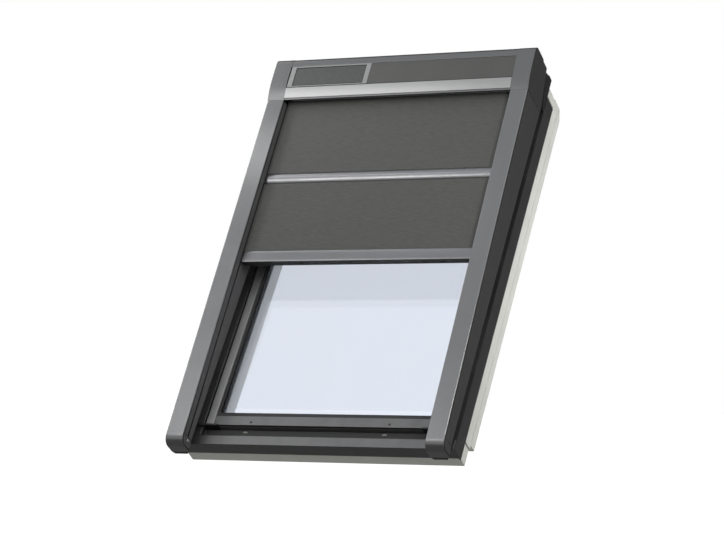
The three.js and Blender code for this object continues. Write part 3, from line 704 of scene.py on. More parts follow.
@dataclass(frozen=True)
class SolarCover(Finish):
    """Toughened cover over dark cells: a subdued gloss, with the cells' faint grain below."""

    crystal: float = 6.0
    grit: float = 0.9
    coat: float = 0.12
    depth: float = 0.01

    def detail(self, tree: NodeTree, shader: Node) -> None:
        """Adds the cells' crystal grain and the cover's thin clear coat."""
        cells = {"Scale": 1 / self.crystal, "Vector": pattern_place(tree)}
        self.tone(tree, shader, add_node(tree, "ShaderNodeTexVoronoi", cells).outputs["Distance"])
        for name in ("Coat Weight", "Coat Roughness"):
            shader.inputs[name].default_value = self.coat
        self.bump(tree, shader, grain(tree, self.grit))


# Name, slot, dark and light colour, metallic and roughness of each finish
RAIL_LACQUER = MetallicLacquer(
    "anthracite_lacquer_on_rails", "painted_rail", "#656565", "#707070", 0.85, 0.32, stretch=ALONG
)
# A lighter and glossier copy of the rail lacquer on the rails' outer front folds: a painted highlight.
RAIL_FOLD_HIGHLIGHT = MetallicLacquer(
    "lacquer_on_rail_folds", "painted_rail", "#7c7c7c", "#888888", 0.95, 0.2, stretch=ALONG
)
BOX_LACQUER = MetallicLacquer(
    "anthracite_lacquer_on_headbox", "painted_headbox", "#5e5e5e", "#696969", 0.88, 0.34, stretch=ACROSS
)
SLAT_LACQUER = MetallicLacquer(
    "anthracite_lacquer_on_slats", "slat_aluminium", "#717172", "#7c7c7d", 0.9, 0.3, stretch=ACROSS
)
BAR_LACQUER = MetallicLacquer(
    "anthracite_lacquer_on_bar", "slat_aluminium", "#646465", "#6e6e6f", 0.9, 0.33, stretch=ACROSS
)
INSET_LACQUER = SatinLacquer("matte_lacquer_on_inset_panel", "inset_panel", "#474745", "#4e4e4c", 0.2, 0.6)
CLADDING = SatinLacquer("dark_lacquer_on_cladding", "cladding", "#545454", "#5e5e5e", 0.85, 0.42)
# A lighter copy of the cladding lacquer on the sash's side covers: painted light where they would reflect
# dark parts.
SIDE_CLADDING_LIT = SatinLacquer("dark_lacquer_on_side_covers", "cladding", "#8e8e8e", "#989898", 0.7, 0.45)
TRIM = BrushedMetal("brushed_anodised_trim", "brushed_aluminium", "#878786", "#8f8f8d", 1.0, 0.38)
PANEL_FRAME = BrushedMetal("satin_anodised_panel_frame", "brushed_aluminium", "#7e7e7d", "#888887", 1.0, 0.4)
BAR_METAL = BrushedMetal("satin_anodised_bar", "bar_aluminium", "#c0c0bd", "#cfcfcc", 1.0, 0.3)
STEEL = BrushedMetal("zinc_plated_steel", "steel", "#a3a3a0", "#bcbcb8", 1.0, 0.34, stretch=(4.0, 4.0, 1.0))
WHITE_FRAME = MouldedSkin("white_lacquered_foam_frame", "white_frame", "#d3d4cd", "#dcddd6", 0.0, 0.5)
WHITE_SASH = MouldedSkin("white_lacquered_foam_sash", "white_sash", "#d9dad6", "#e2e2de", 0.0, 0.48)
# A darker colour on the bottom bar's downward faces: painted shade.
BAR_UNDERSIDE_SHADE = MouldedSkin("dark_lip_under_bar", "slat_aluminium", "#2e2e2e", "#383838", 0.0, 0.6)
# A matt grey in place of the rail lacquer on the rail's inner face below the gap: painted light, lighter
# where light falls on that face.
RAIL_LIP_PAINTED_LIGHT = MouldedSkin("grey_guide_lip", "painted_rail", "#5a5a5a", "#646464", 0.0, 0.6)
SEAL = MouldedSkin("dark_seal_strip", "rubber", "#474747", "#505050", 0.0, 0.7)
RUBBER = MouldedSkin("black_seal_rubber", "rubber", "#242424", "#2e2e2e", 0.0, 0.75, grit=0.8)
BLACK_STEEL = MouldedSkin("black_powder_coat", "black_steel", "#1d1d1d", "#282828", 0.3, 0.45, grit=0.7)
SOLAR_LINE = MouldedSkin("printed_cell_contacts", "solar_glass", "#464745", "#4c4d4b", 0.3, 0.4)
NIB = MouldedSkin("grey_moulded_nibs", "black_plastic", "#77776f", "#86867e", 0.0, 0.5)
PLASTIC = MouldedSkin("black_moulded_plastic", "black_plastic", "#161616", "#202020", 0.0, 0.55)
NYLON = MouldedSkin("grey_nylon", "nylon", "#3c3c3b", "#484847", 0.0, 0.45)
FABRIC = CoatedFabric("coated_shade_cloth", "shade_fabric", "#4e4e4d", "#5b5b59", 0.0, 0.8)
GLASS = FloatGlass("clear_float_glass", "window_glass", "#eef1f7", "#eef1f7", 0.0, 0.0)
SOLAR = SolarCover("solar_cells_under_glass", "solar_glass", "#323331", "#393a38", 0.0, 0.42)


# Geometry Nodes


class Tree:
    """A Geometry Nodes tree with named inputs, baked to a plain mesh."""

    def __init__(self, name: str, **inputs: str) -> None:
        """Starts a tree.

        Args:
            name: The tree's name.
            inputs: Socket kind of each input by name, such as Length="Float".
        """
        self.group = bpy.data.node_groups.new(name, "GeometryNodeTree")
        face = self.group.interface
        self.keys = {}
        for label, kind in {**inputs, "Finish": "Material"}.items():
            made = face.new_socket(label, in_out="INPUT", socket_type=f"NodeSocket{kind}")
            self.keys[label] = made.identifier
        face.new_socket("Shape", in_out="OUTPUT", socket_type="NodeSocketGeometry")
        self.given = add_node(self.group, "NodeGroupInput").outputs

    def finish(self, shape: NodeSocket) -> None:
        """Ends the tree: its instances are made real and get the finish."""
        real = add_node(self.group, "GeometryNodeRealizeInstances", {0: shape}).outputs[0]
        paint = {"Geometry": real, "Material": self.given["Finish"]}
        dressed = add_node(self.group, "GeometryNodeSetMaterial", paint).outputs[0]
        add_node(self.group, "NodeGroupOutput", {0: dressed})

    def bake(self, name: str, plane: Plane, finish: Finish, sharp: float = SHARP, **values: object) -> Object:
        """Runs the tree with the given inputs.

        Args:
            name: The new object's name.
            plane: The plane that the tree's millimetres are in.
            finish: The finish.
            sharp: Edges that turn more than this stay sharp.
            values: The inputs by name.

        Returns:
            The object, as plain mesh with its place in it.
        """
        made = linked(name, bpy.data.meshes.new(name))
        step = made.modifiers.new("Tree", "NODES")
        step.node_group = self.group
        for label, value in {**values, "Finish": finish.material()}.items():
            step[self.keys[label]] = value
        applied(made)
        made.data.transform(plane.matrix())
        made.data.shade_smooth()
        made.data.set_sharp_from_angle(angle=sharp)
        return made


# Each sum's name, operation and terms. x runs along the slat and y round it, and the powers shape the crown.
SLAT_INPUTS = ("Length", "Height", "Crown", "Back", "Level", "Place", "End")
SLAT_SUMS = (
    ("beside", "ABSOLUTE", "x"),
    ("near", "SUBTRACT", 1.0, "beside"),
    ("crowd", "MULTIPLY", "near", "near"),
    ("half", "MULTIPLY", "Length", 0.5),
    ("gap", "MULTIPLY", "crowd", "half"),
    ("reach", "SUBTRACT", "half", "gap"),
    ("side", "SIGN", "x"),
    ("along", "MULTIPLY", "reach", "side"),
    ("inside", "DIVIDE", "gap", "End"),
    ("whole", "MINIMUM", "inside", 1.0),
    ("short", "SUBTRACT", 1.0, "whole"),
    ("loss", "MULTIPLY", "short", "short"),
    ("left", "SUBTRACT", 1.0, "loss"),
    ("kept", "MAXIMUM", "left", 0.0),
    ("size", "SQRT", "kept"),
    ("angle", "MULTIPLY", "y", math.pi),
    ("rise", "SINE", "angle"),
    ("swing", "COSINE", "angle"),
    ("spread", "ABSOLUTE", "swing"),
    ("fall", "POWER", "spread", 1.7),
    ("stand", "SUBTRACT", 1.0, "fall"),
    ("crest", "MAXIMUM", "stand", 0.0),
    ("swell", "POWER", "crest", 0.62),
    ("in_front", "GREATER_THAN", "rise", 0.0),
    ("bulge", "MULTIPLY", "swell", "in_front"),
    ("front", "MULTIPLY", "bulge", "Crown"),
    ("sink", "MULTIPLY", "rise", -1.0),
    ("hollow", "MAXIMUM", "sink", 0.0),
    ("bed", "POWER", "hollow", 0.4),
    ("behind", "MULTIPLY", "bed", "Back"),
    ("width", "MULTIPLY", "swing", "size"),
    ("tall", "MULTIPLY", "Height", 0.5),
    ("across", "MULTIPLY", "width", "tall"),
    ("thick", "SUBTRACT", "front", "behind"),
    ("out", "MULTIPLY", "thick", "size"),
    ("upward", "ADD", "across", "Place"),
    ("outward", "ADD", "out", "Level"),
)


def slat_tree() -> Tree:
    """Makes the tree of a slat: a broad, softly rounded crown drawn out along x, its ends rounded off.

    A grid is wrapped round: its width runs along x, closer together towards the ends, and its
    height runs round the section. SLAT_SUMS gives the place of each of its points step by step.

    Returns:
        The tree, with the inputs of SLAT_INPUTS.
    """
    tree = Tree("slat_section", **{label: "Float" for label in SLAT_INPUTS})
    grid = {"Size X": 2.0, "Size Y": 2.0, "Vertices X": 41, "Vertices Y": 49}
    mesh = add_node(tree.group, "GeometryNodeMeshGrid", grid).outputs["Mesh"]
    spot = add_node(tree.group, "GeometryNodeInputPosition").outputs[0]
    part = add_node(tree.group, "ShaderNodeSeparateXYZ", {0: spot}).outputs
    known = {label: tree.given[label] for label in SLAT_INPUTS} | {"x": part["X"], "y": part["Y"]}
    for name, operation, *terms in SLAT_SUMS:
        values = {i: known.get(term, term) for i, term in enumerate(terms)}
        known[name] = add_node(tree.group, "ShaderNodeMath", {"operation": operation, **values}).outputs[0]
    place = {i: known[name] for i, name in enumerate(("along", "upward", "outward"))}
    point = add_node(tree.group, "ShaderNodeCombineXYZ", place).outputs[0]
    bent = add_node(tree.group, "GeometryNodeSetPosition", {"Geometry": mesh, "Position": point}).outputs[0]
    closed = add_node(tree.group, "GeometryNodeMergeByDistance", {"Distance": 0.001, "Geometry": bent})
    tree.finish(add_node(tree.group, "GeometryNodeFlipFaces", {0: closed.outputs[0]}).outputs[0])
    return tree


def row_tree() -> Tree:
    """Makes the tree that sets copies of a small shape in a row.

    Returns:
        The tree, with the inputs Shape, Count, First and Step.
    """
    tree = Tree("row_of_fittings", Shape="Object", Count="Int", First="Vector", Step="Vector")
    given = tree.given
    shape = add_node(tree.group, "GeometryNodeObjectInfo", {"Object": given["Shape"]}).outputs["Geometry"]
    line = {"Count": given["Count"], "Start Location": given["First"], "Offset": given["Step"]}
    points = add_node(tree.group, "GeometryNodeMeshLine", {"mode": "OFFSET", **line}).outputs[0]
    copies = add_node(tree.group, "GeometryNodeInstanceOnPoints", {"Points": points, "Instance": shape})
    tree.finish(copies.outputs[0])
    return tree


def dress(obj: Object, finish: Finish) -> None:
    """Gives an object one finish all over."""
    obj.data.materials.clear()
    obj.data.materials.append(finish.material())


def settle(obj: Object, finish: Finish, body: str, *nodes: str) -> None:
    """Finishes a new piece: its material, its body and the solids that it stands for.

    Args:
        obj: The piece; where its faces are dressed already, they stay so.
        finish: Its finish, or the main one of its faces.
        body: The body that it rides on.
        nodes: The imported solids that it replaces.
    """
    if not obj.data.materials:
        dress(obj, finish)
    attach(obj, body)
    if nodes:
        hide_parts(*nodes)
    LOG.info("%s rides on %s", obj.name, body)


def row(name: str, finish: Finish, body: str, shape: Form, span: Reach, place: Point, count: int = 2) -> None:
    """Sets copies of a small shape in a row across, as one piece.

    Args:
        name: The piece's name.
        finish: Its finish.
        body: The body that it rides on.
        shape: The shape, drawn about the origin.
        span: The first and the last copy's place across.
        place: Their place up the slope and out of the roof.
        count: How many copies there are.
    """
    pattern = shape.template(f"{name}_pattern")
    step = ((span[1] - span[0]) / (count - 1), 0.0, 0.0)
    inputs = {"Shape": pattern, "Count": count, "First": (span[0], *place), "Step": step}
    made = row_tree().bake(name, shape.plane, finish, **inputs)
    bpy.data.objects.remove(pattern, do_unlink=True)
    dress(made, finish)
    settle(made, finish, body)


class Assembly:
    """What every sub-assembly shares."""

    body = ""

    def copy(self, node: str, finish: Finish, radius: float, *rules: EdgeRule) -> None:
        """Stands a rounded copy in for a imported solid.

        Args:
            node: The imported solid.
            finish: The copy's finish.
            radius: Radius of its edges in millimetres.
            rules: Edges with another radius.
        """
        settle(rounded_copy(node, f"{node}_rounded", radius, *rules), finish, self.body, node)

    def keep(self, node: str, finish: Finish) -> None:
        """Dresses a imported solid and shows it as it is."""
        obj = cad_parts[node]
        dress(obj, finish)


# Stage, light and camera


def emptied(owner: Material | bpy.types.World) -> NodeTree:
    """Returns the node tree of a new material or world, with no nodes in it."""
    owner.use_nodes = True
    owner.node_tree.nodes.clear()
    return owner.node_tree


@dataclass(frozen=True)
class Softbox:
    """A rectangular soft lamp: where it stands and aims, its size in metres and its power in watts.

    Its height runs along the direction given last, and it turns to its aim as far as that leaves it free.
    """

    name: str
    place: Triple
    aim: Triple
    size: Reach
    power: float
    along: Triple = (0.0, 0.0, 1.0)
    reflected: bool = True

    def build(self) -> None:
        """Adds the lamp."""
        data = bpy.data.lights.new(self.name, "AREA")
        data.shape = "RECTANGLE"
        data.size, data.size_y = self.size
        data.energy = self.power
        made = linked(self.name, data)
        up = Vector(self.along).normalized()
        back = Vector(self.place) - Vector(self.aim)
        back = (back - up * back.dot(up)).normalized()
        turn = Matrix((up.cross(back), up, back)).transposed()
        made.location = self.place
        made.rotation_euler = turn.to_euler()
        made.visible_camera = made.visible_transmission = False
        made.visible_glossy = self.reflected


@dataclass(frozen=True)
class Card:
    """A card that only reflections see: a dark flag or a pale reflector beside the object."""

    name: str
    place: Triple
    aim: Triple
    size: Reach
    level: float
    sky: bool = False
    blue: tuple[float, ...] = (0.97, 1.0, 1.05, 1.0)
    cloud: tuple[float, ...] = (1.06, 1.02, 0.97, 1.0)
    turn: float = math.radians(40)
    steps: tuple[Point, ...] = ((0.0, 1.0), (0.5, 0.86), (0.62, 0.74))

    def build(self) -> None:
        """Adds the card, facing its aim."""
        u, v = self.size[0] / 2, self.size[1] / 2
        data = bpy.data.meshes.new(self.name)
        data.from_pydata([(-u, -v, 0), (u, -v, 0), (u, v, 0), (-u, v, 0)], [], [(0, 1, 2, 3)])
        turn = (Vector(self.aim) - Vector(self.place)).to_track_quat("Z", "Y").to_matrix().to_4x4()
        made = linked(self.name, data)
        made.matrix_world = Matrix.Translation(self.place) @ turn
        for way in ("camera", "diffuse", "transmission", "volume_scatter", "shadow"):
            setattr(made, f"visible_{way}", False)
        data.materials.append(self.paint())

    def paint(self) -> Material:
        """Returns the card's own glow: plain, or a pale sky of soft clouds that darkens in three steps."""
        made = bpy.data.materials.new(self.name)
        tree = emptied(made)
        glow = add_node(tree, "ShaderNodeEmission", {"Color": WHITE, "Strength": self.level})
        add_node(tree, "ShaderNodeOutputMaterial", {"Surface": glow.outputs[0]})
        if self.sky:
            tree.links.new(self.clouds(tree), glow.inputs["Color"])
        return made

    def clouds(self, tree: NodeTree) -> NodeSocket:
        """Returns the colour of the sky with its clouds."""
        place = add_node(tree, "ShaderNodeTexCoord").outputs["Object"]
        noise = {"Scale": 1.6, "Detail": 6.0, "Roughness": 0.6, "Vector": place}
        value = add_node(tree, "ShaderNodeTexNoise", noise).outputs["Fac"]
        cover = add_node(tree, "ShaderNodeMapRange", {"From Min": 0.52, "From Max": 0.72, "Value": value})
        hues = {"data_type": "RGBA", 6: self.blue, 7: self.cloud, 0: cover.outputs[0]}
        hue = add_node(tree, "ShaderNodeMix", hues).outputs[2]
        turned = add_node(tree, "ShaderNodeMapping", {"Rotation": (0.0, 0.0, self.turn), "Vector": place})
        across = add_node(tree, "ShaderNodeSeparateXYZ", {0: turned.outputs[0]}).outputs["X"]
        share = add_node(tree, "ShaderNodeMapRange", {"From Min": -2.0, "From Max": 2.0, "Value": across})
        steps = add_node(tree, "ShaderNodeValToRGB", {"Fac": share.outputs[0]})
        steps.color_ramp.interpolation = "CONSTANT"
        points = steps.color_ramp.elements
        for number, (start, level) in enumerate(self.steps):
            point = points[number] if number < len(points) else points.new(start)
            point.position, point.color = start, (level, level, level, 1.0)
        both = {"data_type": "RGBA", "blend_type": "MULTIPLY", 0: 1.0, 6: hue, 7: steps.outputs[0]}
        return add_node(tree, "ShaderNodeMix", both).outputs[2]


@dataclass
class Studio:
    """The pale floor, the soft lamps and the camera of the photograph.

    The camera's place and lens were fitted to the straight edges of the photograph. It stands
    level, so its picture has no roll.
    """

    camera_place: Triple = (2.7009, -5.6136, 0.3162)
    camera_direction: Triple = (-0.4188, 0.9077, 0.0265)
    lens: float = 120.6
    floor_height: float = -0.35
    floor_half: float = 14.0
    floor_glow: float = 0.72
    ambient: float = 0.42
    lamps: tuple[Softbox, ...] = (
        Softbox("key_left", (-1.5, 0.22, 2.21), (-0.36, 0.22, 0.46), (0.4, 2.6), 12.5, (0.0, 0.534, 0.845)),
        Softbox("front_low", (-0.9, -1.3, 1.68), (-0.3, 0.35, 0.8), (0.9, 0.4), 8.5, (0.2, 0.4, 0.9)),
        Softbox("box_strip", (-0.42, 0.12, 1.3), (-0.2, 0.46, 1.0), (0.8, 0.12), 0.75, (0.0, 0.6, 0.8)),
        Softbox("rim_right", (1.04, -0.46, 1.1), (0.39, 0.0, 0.1), (0.16, 0.5), 4.5, (0.0, 0.3, 0.95)),
        Softbox("room_fill", (1.0, 1.6, 0.2), (-0.1, 0.2, 0.3), (1.0, 1.0), 20.0, reflected=False),
    )
    cards: tuple[Card, ...] = (
        Card("sky_reflector", (-1.7, -0.9, 3.8), (0.0, 0.1, 0.3), (5.0, 5.0), 1.15, sky=True),
        Card("flag_behind", (-0.5, 2.3, 1.2), (0.0, 0.3, 0.8), (7.0, 5.2), 0.12),
        Card("flag_right", (2.2, 1.6, 0.6), (0.0, 0.3, 0.6), (2.6, 3.0), 0.2),
        Card("flag_below", (-0.5, 0.6, -0.33), (-0.5, 0.6, 1.0), (5.0, 4.5), 0.25),
    )

    def build(self) -> None:
        """Builds the stage."""
        self.camera()
        self.world()
        self.floor()
        for item in (*self.lamps, *self.cards):
            item.build()
        bpy.context.scene.view_settings.view_transform = "Standard"

    def camera(self) -> None:
        """Adds the camera."""
        data = bpy.data.cameras.new("photo_camera")
        data.lens = self.lens
        data.sensor_width = 36.0
        made = linked("photo_camera", data)
        made.location = self.camera_place
        made.rotation_euler = Vector(self.camera_direction).to_track_quat("-Z", "Y").to_euler()
        bpy.context.scene.camera = made

    def seen(self, tree: NodeTree, *more: str) -> NodeSocket:
        """Returns 1 for rays from the camera, through glass and of the further kinds given."""
        path = add_node(tree, "ShaderNodeLightPath").outputs
        value = path["Is Camera Ray"]
        for kind in ("Is Transmission Ray", *more):
            either = {"operation": "MAXIMUM", 0: value, 1: path[kind]}
            value = add_node(tree, "ShaderNodeMath", either).outputs[0]
        return value

    def world(self) -> None:
        """Makes the world white where it is seen and dimmer where it lights."""
        made = bpy.data.worlds.new("white_room")
        bpy.context.scene.world = made
        tree = emptied(made)
        soft, white = (
            add_node(tree, "ShaderNodeBackground", {"Color": WHITE, "Strength": level}).outputs[0]
            for level in (self.ambient, 1.0)
        )
        ways = {0: self.seen(tree, "Is Glossy Ray"), 1: soft, 2: white}
        mixed = add_node(tree, "ShaderNodeMixShader", ways)
        add_node(tree, "ShaderNodeOutputWorld", {"Surface": mixed.outputs[0]})

    def floor(self) -> None:
        """Adds the pale floor, which the camera sees white but for the object's soft shadow."""
        half = self.floor_half
        data = bpy.data.meshes.new("floor")
        corners = [(-half, -half), (half, -half), (half, half), (-half, half)]
        data.from_pydata([(x, y, self.floor_height) for x, y in corners], [], [(0, 1, 2, 3)])
        made = linked("floor", data)
        paint = bpy.data.materials.new("pale_floor")
        tree = emptied(paint)
        pale, dim = (
            add_node(tree, "ShaderNodeBsdfDiffuse", {"Color": linear(colour)}).outputs[0]
            for colour in ("#f2f2f0", "#a8a8a6")
        )
        glow = add_node(tree, "ShaderNodeEmission", {"Color": WHITE, "Strength": self.floor_glow}).outputs[0]
        both = add_node(tree, "ShaderNodeAddShader", {0: pale, 1: glow}).outputs[0]
        mixed = add_node(tree, "ShaderNodeMixShader", {0: self.seen(tree), 1: dim, 2: both})
        add_node(tree, "ShaderNodeOutputMaterial", {"Surface": mixed.outputs[0]})
        data.materials.append(paint)


# Sub-assemblies


@dataclass
class FixedFrame(Assembly):
    """The white outer frame with its dark covers, hinge brackets and pivot plates."""

    body: str = "frame"
    foam_edge: float = 1.5
    jamb_edge: float = 0.7
    fold: float = 2.0
    sheet_edge: float = 0.8
    bracket_edge: float = 1.0
    plate_edge: float = 0.5
    cover_top: float = 110.0
    nib_places: Reach = (-212.2, 183.3)
    nib_size: Triple = (7.5, 3.6, 2.6)
    nib_rings: tuple[float, ...] = (1.0, 0.96, 0.8, 0.45)
    nib_sides: int = 20
    nib_rise: float = 45.4
    seal_top: float = 97.3

    def build(self) -> None:
        """Builds every piece of the fixed frame."""
        on_top = EdgeRule(Plane.WINDOW, self.fold, lambda p: p.z > self.cover_top - NEAR)
        for side in Side:
            self.copy(f"frame_jamb_{side.word}", WHITE_FRAME, self.jamb_edge)
            self.copy(f"jamb_cover_{side.word}", CLADDING, self.sheet_edge, on_top)
            self.copy(f"hinge_bracket_{side.word}", BLACK_STEEL, self.bracket_edge)
            self.copy(f"pivot_plate_{side.word}", STEEL, self.plate_edge)
        for node in ("frame_sill", "frame_head"):
            self.copy(node, WHITE_FRAME, self.foam_edge)
        self.copy("sill_cover", CLADDING, self.sheet_edge, on_top)
        self.copy("sill_seal", RUBBER, self.bracket_edge)
        self.copy("head_hood", CLADDING, self.sheet_edge)
        self.nibs()

    def nibs(self) -> None:
        """Adds the two pale oval nibs that stand on the sill's seal strip."""
        half, short, top = self.nib_size
        angles = [math.tau * i / self.nib_sides for i in range(self.nib_sides)]
        rings = []
        for share in self.nib_rings:
            rise = top * math.sqrt(1 - share * share)
            rings.append([(half * share * math.cos(a), short * share * math.sin(a), rise) for a in angles])
        nib = Form(Plane.WINDOW).loft(rings)
        row("sill_nibs", NIB, self.body, nib, self.nib_places, (self.nib_rise, self.seal_top))


@dataclass
class Sash(Assembly):
    """The white sash with its covers, glass unit and lower guides."""

    body: str = "sash"
    foam_edge: float = 1.5
    sheet_edge: float = 0.9
    guide_edge: float = 0.8
    plate_edge: float = 0.5
    carrier_edge: float = 0.6
    plug_places: Reach = (-197.6, 195.8)
    plug_profile: tuple[Point, ...] = ((3.4, -0.6), (3.4, 0.3), (2.9, 0.9), (1.4, 1.2), (0.6, 0.7))
    plug_rise: float = 69.4
    cover_top: float = 111.0
    lower_seal: tuple[Reach, Reach, Reach] = ((-327.6, 327.6), (58.0, 59.9), (40.0, 104.0))
    seal_edge: float = 0.3

    def build(self) -> None:
        """Builds every piece of the sash but the control bar."""
        for side in Side:
            self.copy(f"sash_stile_{side.word}", WHITE_SASH, self.foam_edge)
            # The side covers get the lighter copy of the cladding: painted light.
            self.copy(f"sash_cover_{side.word}", SIDE_CLADDING_LIT, self.sheet_edge)
            self.copy(f"pivot_pin_{side.word}", STEEL, self.plate_edge)
            self.copy(f"guide_arm_{side.word}", BLACK_STEEL, self.guide_edge)
            self.copy(f"guide_wheel_{side.word}", NYLON, self.guide_edge)
        for node in ("sash_bottom_rail", "sash_top_rail"):
            self.copy(node, WHITE_SASH, self.foam_edge)
        for node in ("sash_cover_bottom", "sash_cover_top"):
            self.copy(node, CLADDING, self.sheet_edge)
        for node in ("pane_outer", "pane_inner"):
            self.copy(node, GLASS, self.plate_edge)
        self.copy("pane_spacer", PLASTIC, self.plate_edge)
        self.copy("glazing_gasket", RUBBER, self.guide_edge)
        self.copy("control_bar_carrier", STEEL, self.carrier_edge)
        self.plugs()
        seal = Form(Plane.WINDOW).box(*self.lower_seal, self.seal_edge)
        settle(seal.object("sash_lower_seal"), SEAL, self.body)

    def plugs(self) -> None:
        """Adds the small dark heads that fix the bottom cover."""
        head = Form(Plane.WINDOW).lathe(self.plug_profile, (0, 0, 0), (0, 0, 1))
        row("cover_plugs", PLASTIC, self.body, head, self.plug_places, (self.plug_rise, self.cover_top))


@dataclass
class ControlBar(Assembly):
    """The bar on the room side that opens the window."""

    body: str = "control_bar"
    edge: float = 2.0

    def build(self) -> None:
        """Builds the bar."""
        self.copy("control_bar", BAR_METAL, self.edge)


@dataclass
class Rails(Assembly):
    """The side rails with their rounded ends and black feet."""

    body: str = "shutter"
    inner: float = 340.0
    outer: float = 390.0
    start: float = -8.0
    end: float = 1065.0
    tip: float = -40.3
    nose: float = 24.0
    nose_steps: int = 14
    fold: float = 2.2
    fold_slope: float = 0.2
    edge: float = 0.6
    play: float = 0.1
    lip_band: float = 0.4
    gap_start: float = 3.4
    gap_width: float = 3.0
    gap_depth: float = 1.3
    back: float = 133.0
    end_back: float = 128.5
    step: float = 9.0
    foot_reach: Reach = (0.4, 24.0)
    foot_rings: tuple[Point, ...] = ((-0.5, 1.6), (4.0, 2.4), (9.5, 6.0), (10.5, 7.0))
    screw_profile: tuple[Point, ...] = ((5.2, -0.5), (5.2, 0.8), (4.6, 2.2), (3.0, 3.0), (1.6, 2.0))
    screw_place: Point = (-17.5, -31.5)

    def build(self) -> None:
        """Builds both rails."""
        front = EdgeRule(Plane.SHUTTER, self.fold, lambda p: p.z > -NEAR)
        low = EdgeRule(Plane.SHUTTER, 0.0, lambda p: p.y < self.start + NEAR)
        high = EdgeRule(Plane.SHUTTER, 0.0, lambda p: p.y > self.end - NEAR)
        for side in Side:
            node = f"side_rail_{side.word}"
            rail = rounded_copy(node, f"{node}_lacquered", self.edge, front, low, high)
            self.finish(rail, side, node)
            self.rail_end(side)
            self.foot(side)
            self.end_screw(side)

    def finish(self, rail: Object, side: Side, node: str) -> None:
        """Dresses a rail or its end, with the shadow gap behind both front edges, its faces black as painted
        shade.
        """
        dress(rail, RAIL_LACQUER)
        self.grooved(rail, side)
        settle(rail, RAIL_LACQUER, self.body, node)

    def nose_line(self, inset_by: float) -> list[Point]:
        """Returns the rail end's side outline, moved inwards, from the front round to the back."""
        middle = (self.tip + self.nose, -self.nose)
        turn = arc(middle, self.nose - inset_by, 90.0, 180.0, self.nose_steps)
        back = depth_at(self.tip, self.end_back)
        return [(self.end + 1.0, -inset_by), *turn, (self.tip + inset_by, back)]

    def grooved(self, rail: Object, side: Side) -> None:
        """Cuts the shadow gap behind both front edges with black faces as painted shade, and paints the inner
        lip a lighter matt grey as painted light and the outer fold a painted highlight.
        """
        tools = []
        lines = [self.nose_line(deep) for deep in (self.gap_start, self.gap_start + self.gap_width)]
        inner = (self.inner - 1.0, self.inner + self.gap_depth)
        outer = (self.outer - self.gap_depth, self.outer + 1.0)
        for near, far in (inner, outer):
            tool = Form().band(*lines, side.span(near, far)).object(f"gap_tool_{near:.0f}")
            # The tool's black passes to the gap's faces in the cut: painted shade.
            dress(tool, PLASTIC)
            tools.append(tool)
        cut(rail, *tools)
        lip = len(rail.data.materials)
        for extra in (RAIL_LIP_PAINTED_LIGHT, RAIL_FOLD_HIGHLIGHT):
            rail.data.materials.append(extra.material())
        to_plane = Plane.SHUTTER.matrix().inverted()
        across = Vector((side.value, 0.0, 0.0))
        for face in rail.data.polygons:
            place = to_plane @ face.center
            # Faces on the outer front fold get the lighter, glossier lacquer: a painted highlight.
            on_fold = self.outer - self.fold < abs(place.x) < self.outer - self.play and place.z > -self.fold
            # Inner faces below the gap get the matt grey: painted light in place of the lacquer.
            if abs(abs(place.x) - self.inner) < self.lip_band and place.z < -self.gap_start - self.gap_width:
                face.material_index = lip
            elif on_fold and across.dot(face.normal) > self.fold_slope:
                face.material_index = lip + 1

    def rail_end(self, side: Side) -> None:
        """Builds a rail's rounded end."""
        end_back, back = (depth_at(self.start, depth) for depth in (self.end_back, self.back))
        top = self.start - self.play
        outline = [*self.nose_line(0.0)[1:], (self.start - self.step, end_back), (top, back), (top, 0.0)]
        form = Form().prism(outline, "x", side.span(self.inner, self.outer), self.fold)
        self.finish(form.object(f"rail_end_{side.word}_lacquered"), side, f"rail_end_{side.word}")

    def foot(self, side: Side) -> None:
        """Builds the black foot under a rail end."""
        heel, toe = (self.tip + along for along in self.foot_reach)
        rings = []
        for drop, narrow in self.foot_rings:
            left, right = side.span(self.inner + narrow, self.outer - narrow)
            corners = ((left, heel), (right, heel), (right, toe), (left, toe))
            rings.append([(x, y, depth_at(y, self.end_back) - drop) for x, y in corners])
        settle(Form().loft(rings).object(f"rail_foot_{side.word}"), PLASTIC, self.body)

    def end_screw(self, side: Side) -> None:
        """Adds the zinc-plated screw on the inner face of a rail end."""
        centre = (side.value * self.inner, *self.screw_place)
        screw = Form().lathe(self.screw_profile, centre, (-side.value, 0.0, 0.0))
        settle(screw.object(f"rail_end_screw_{side.word}"), STEEL, self.body)


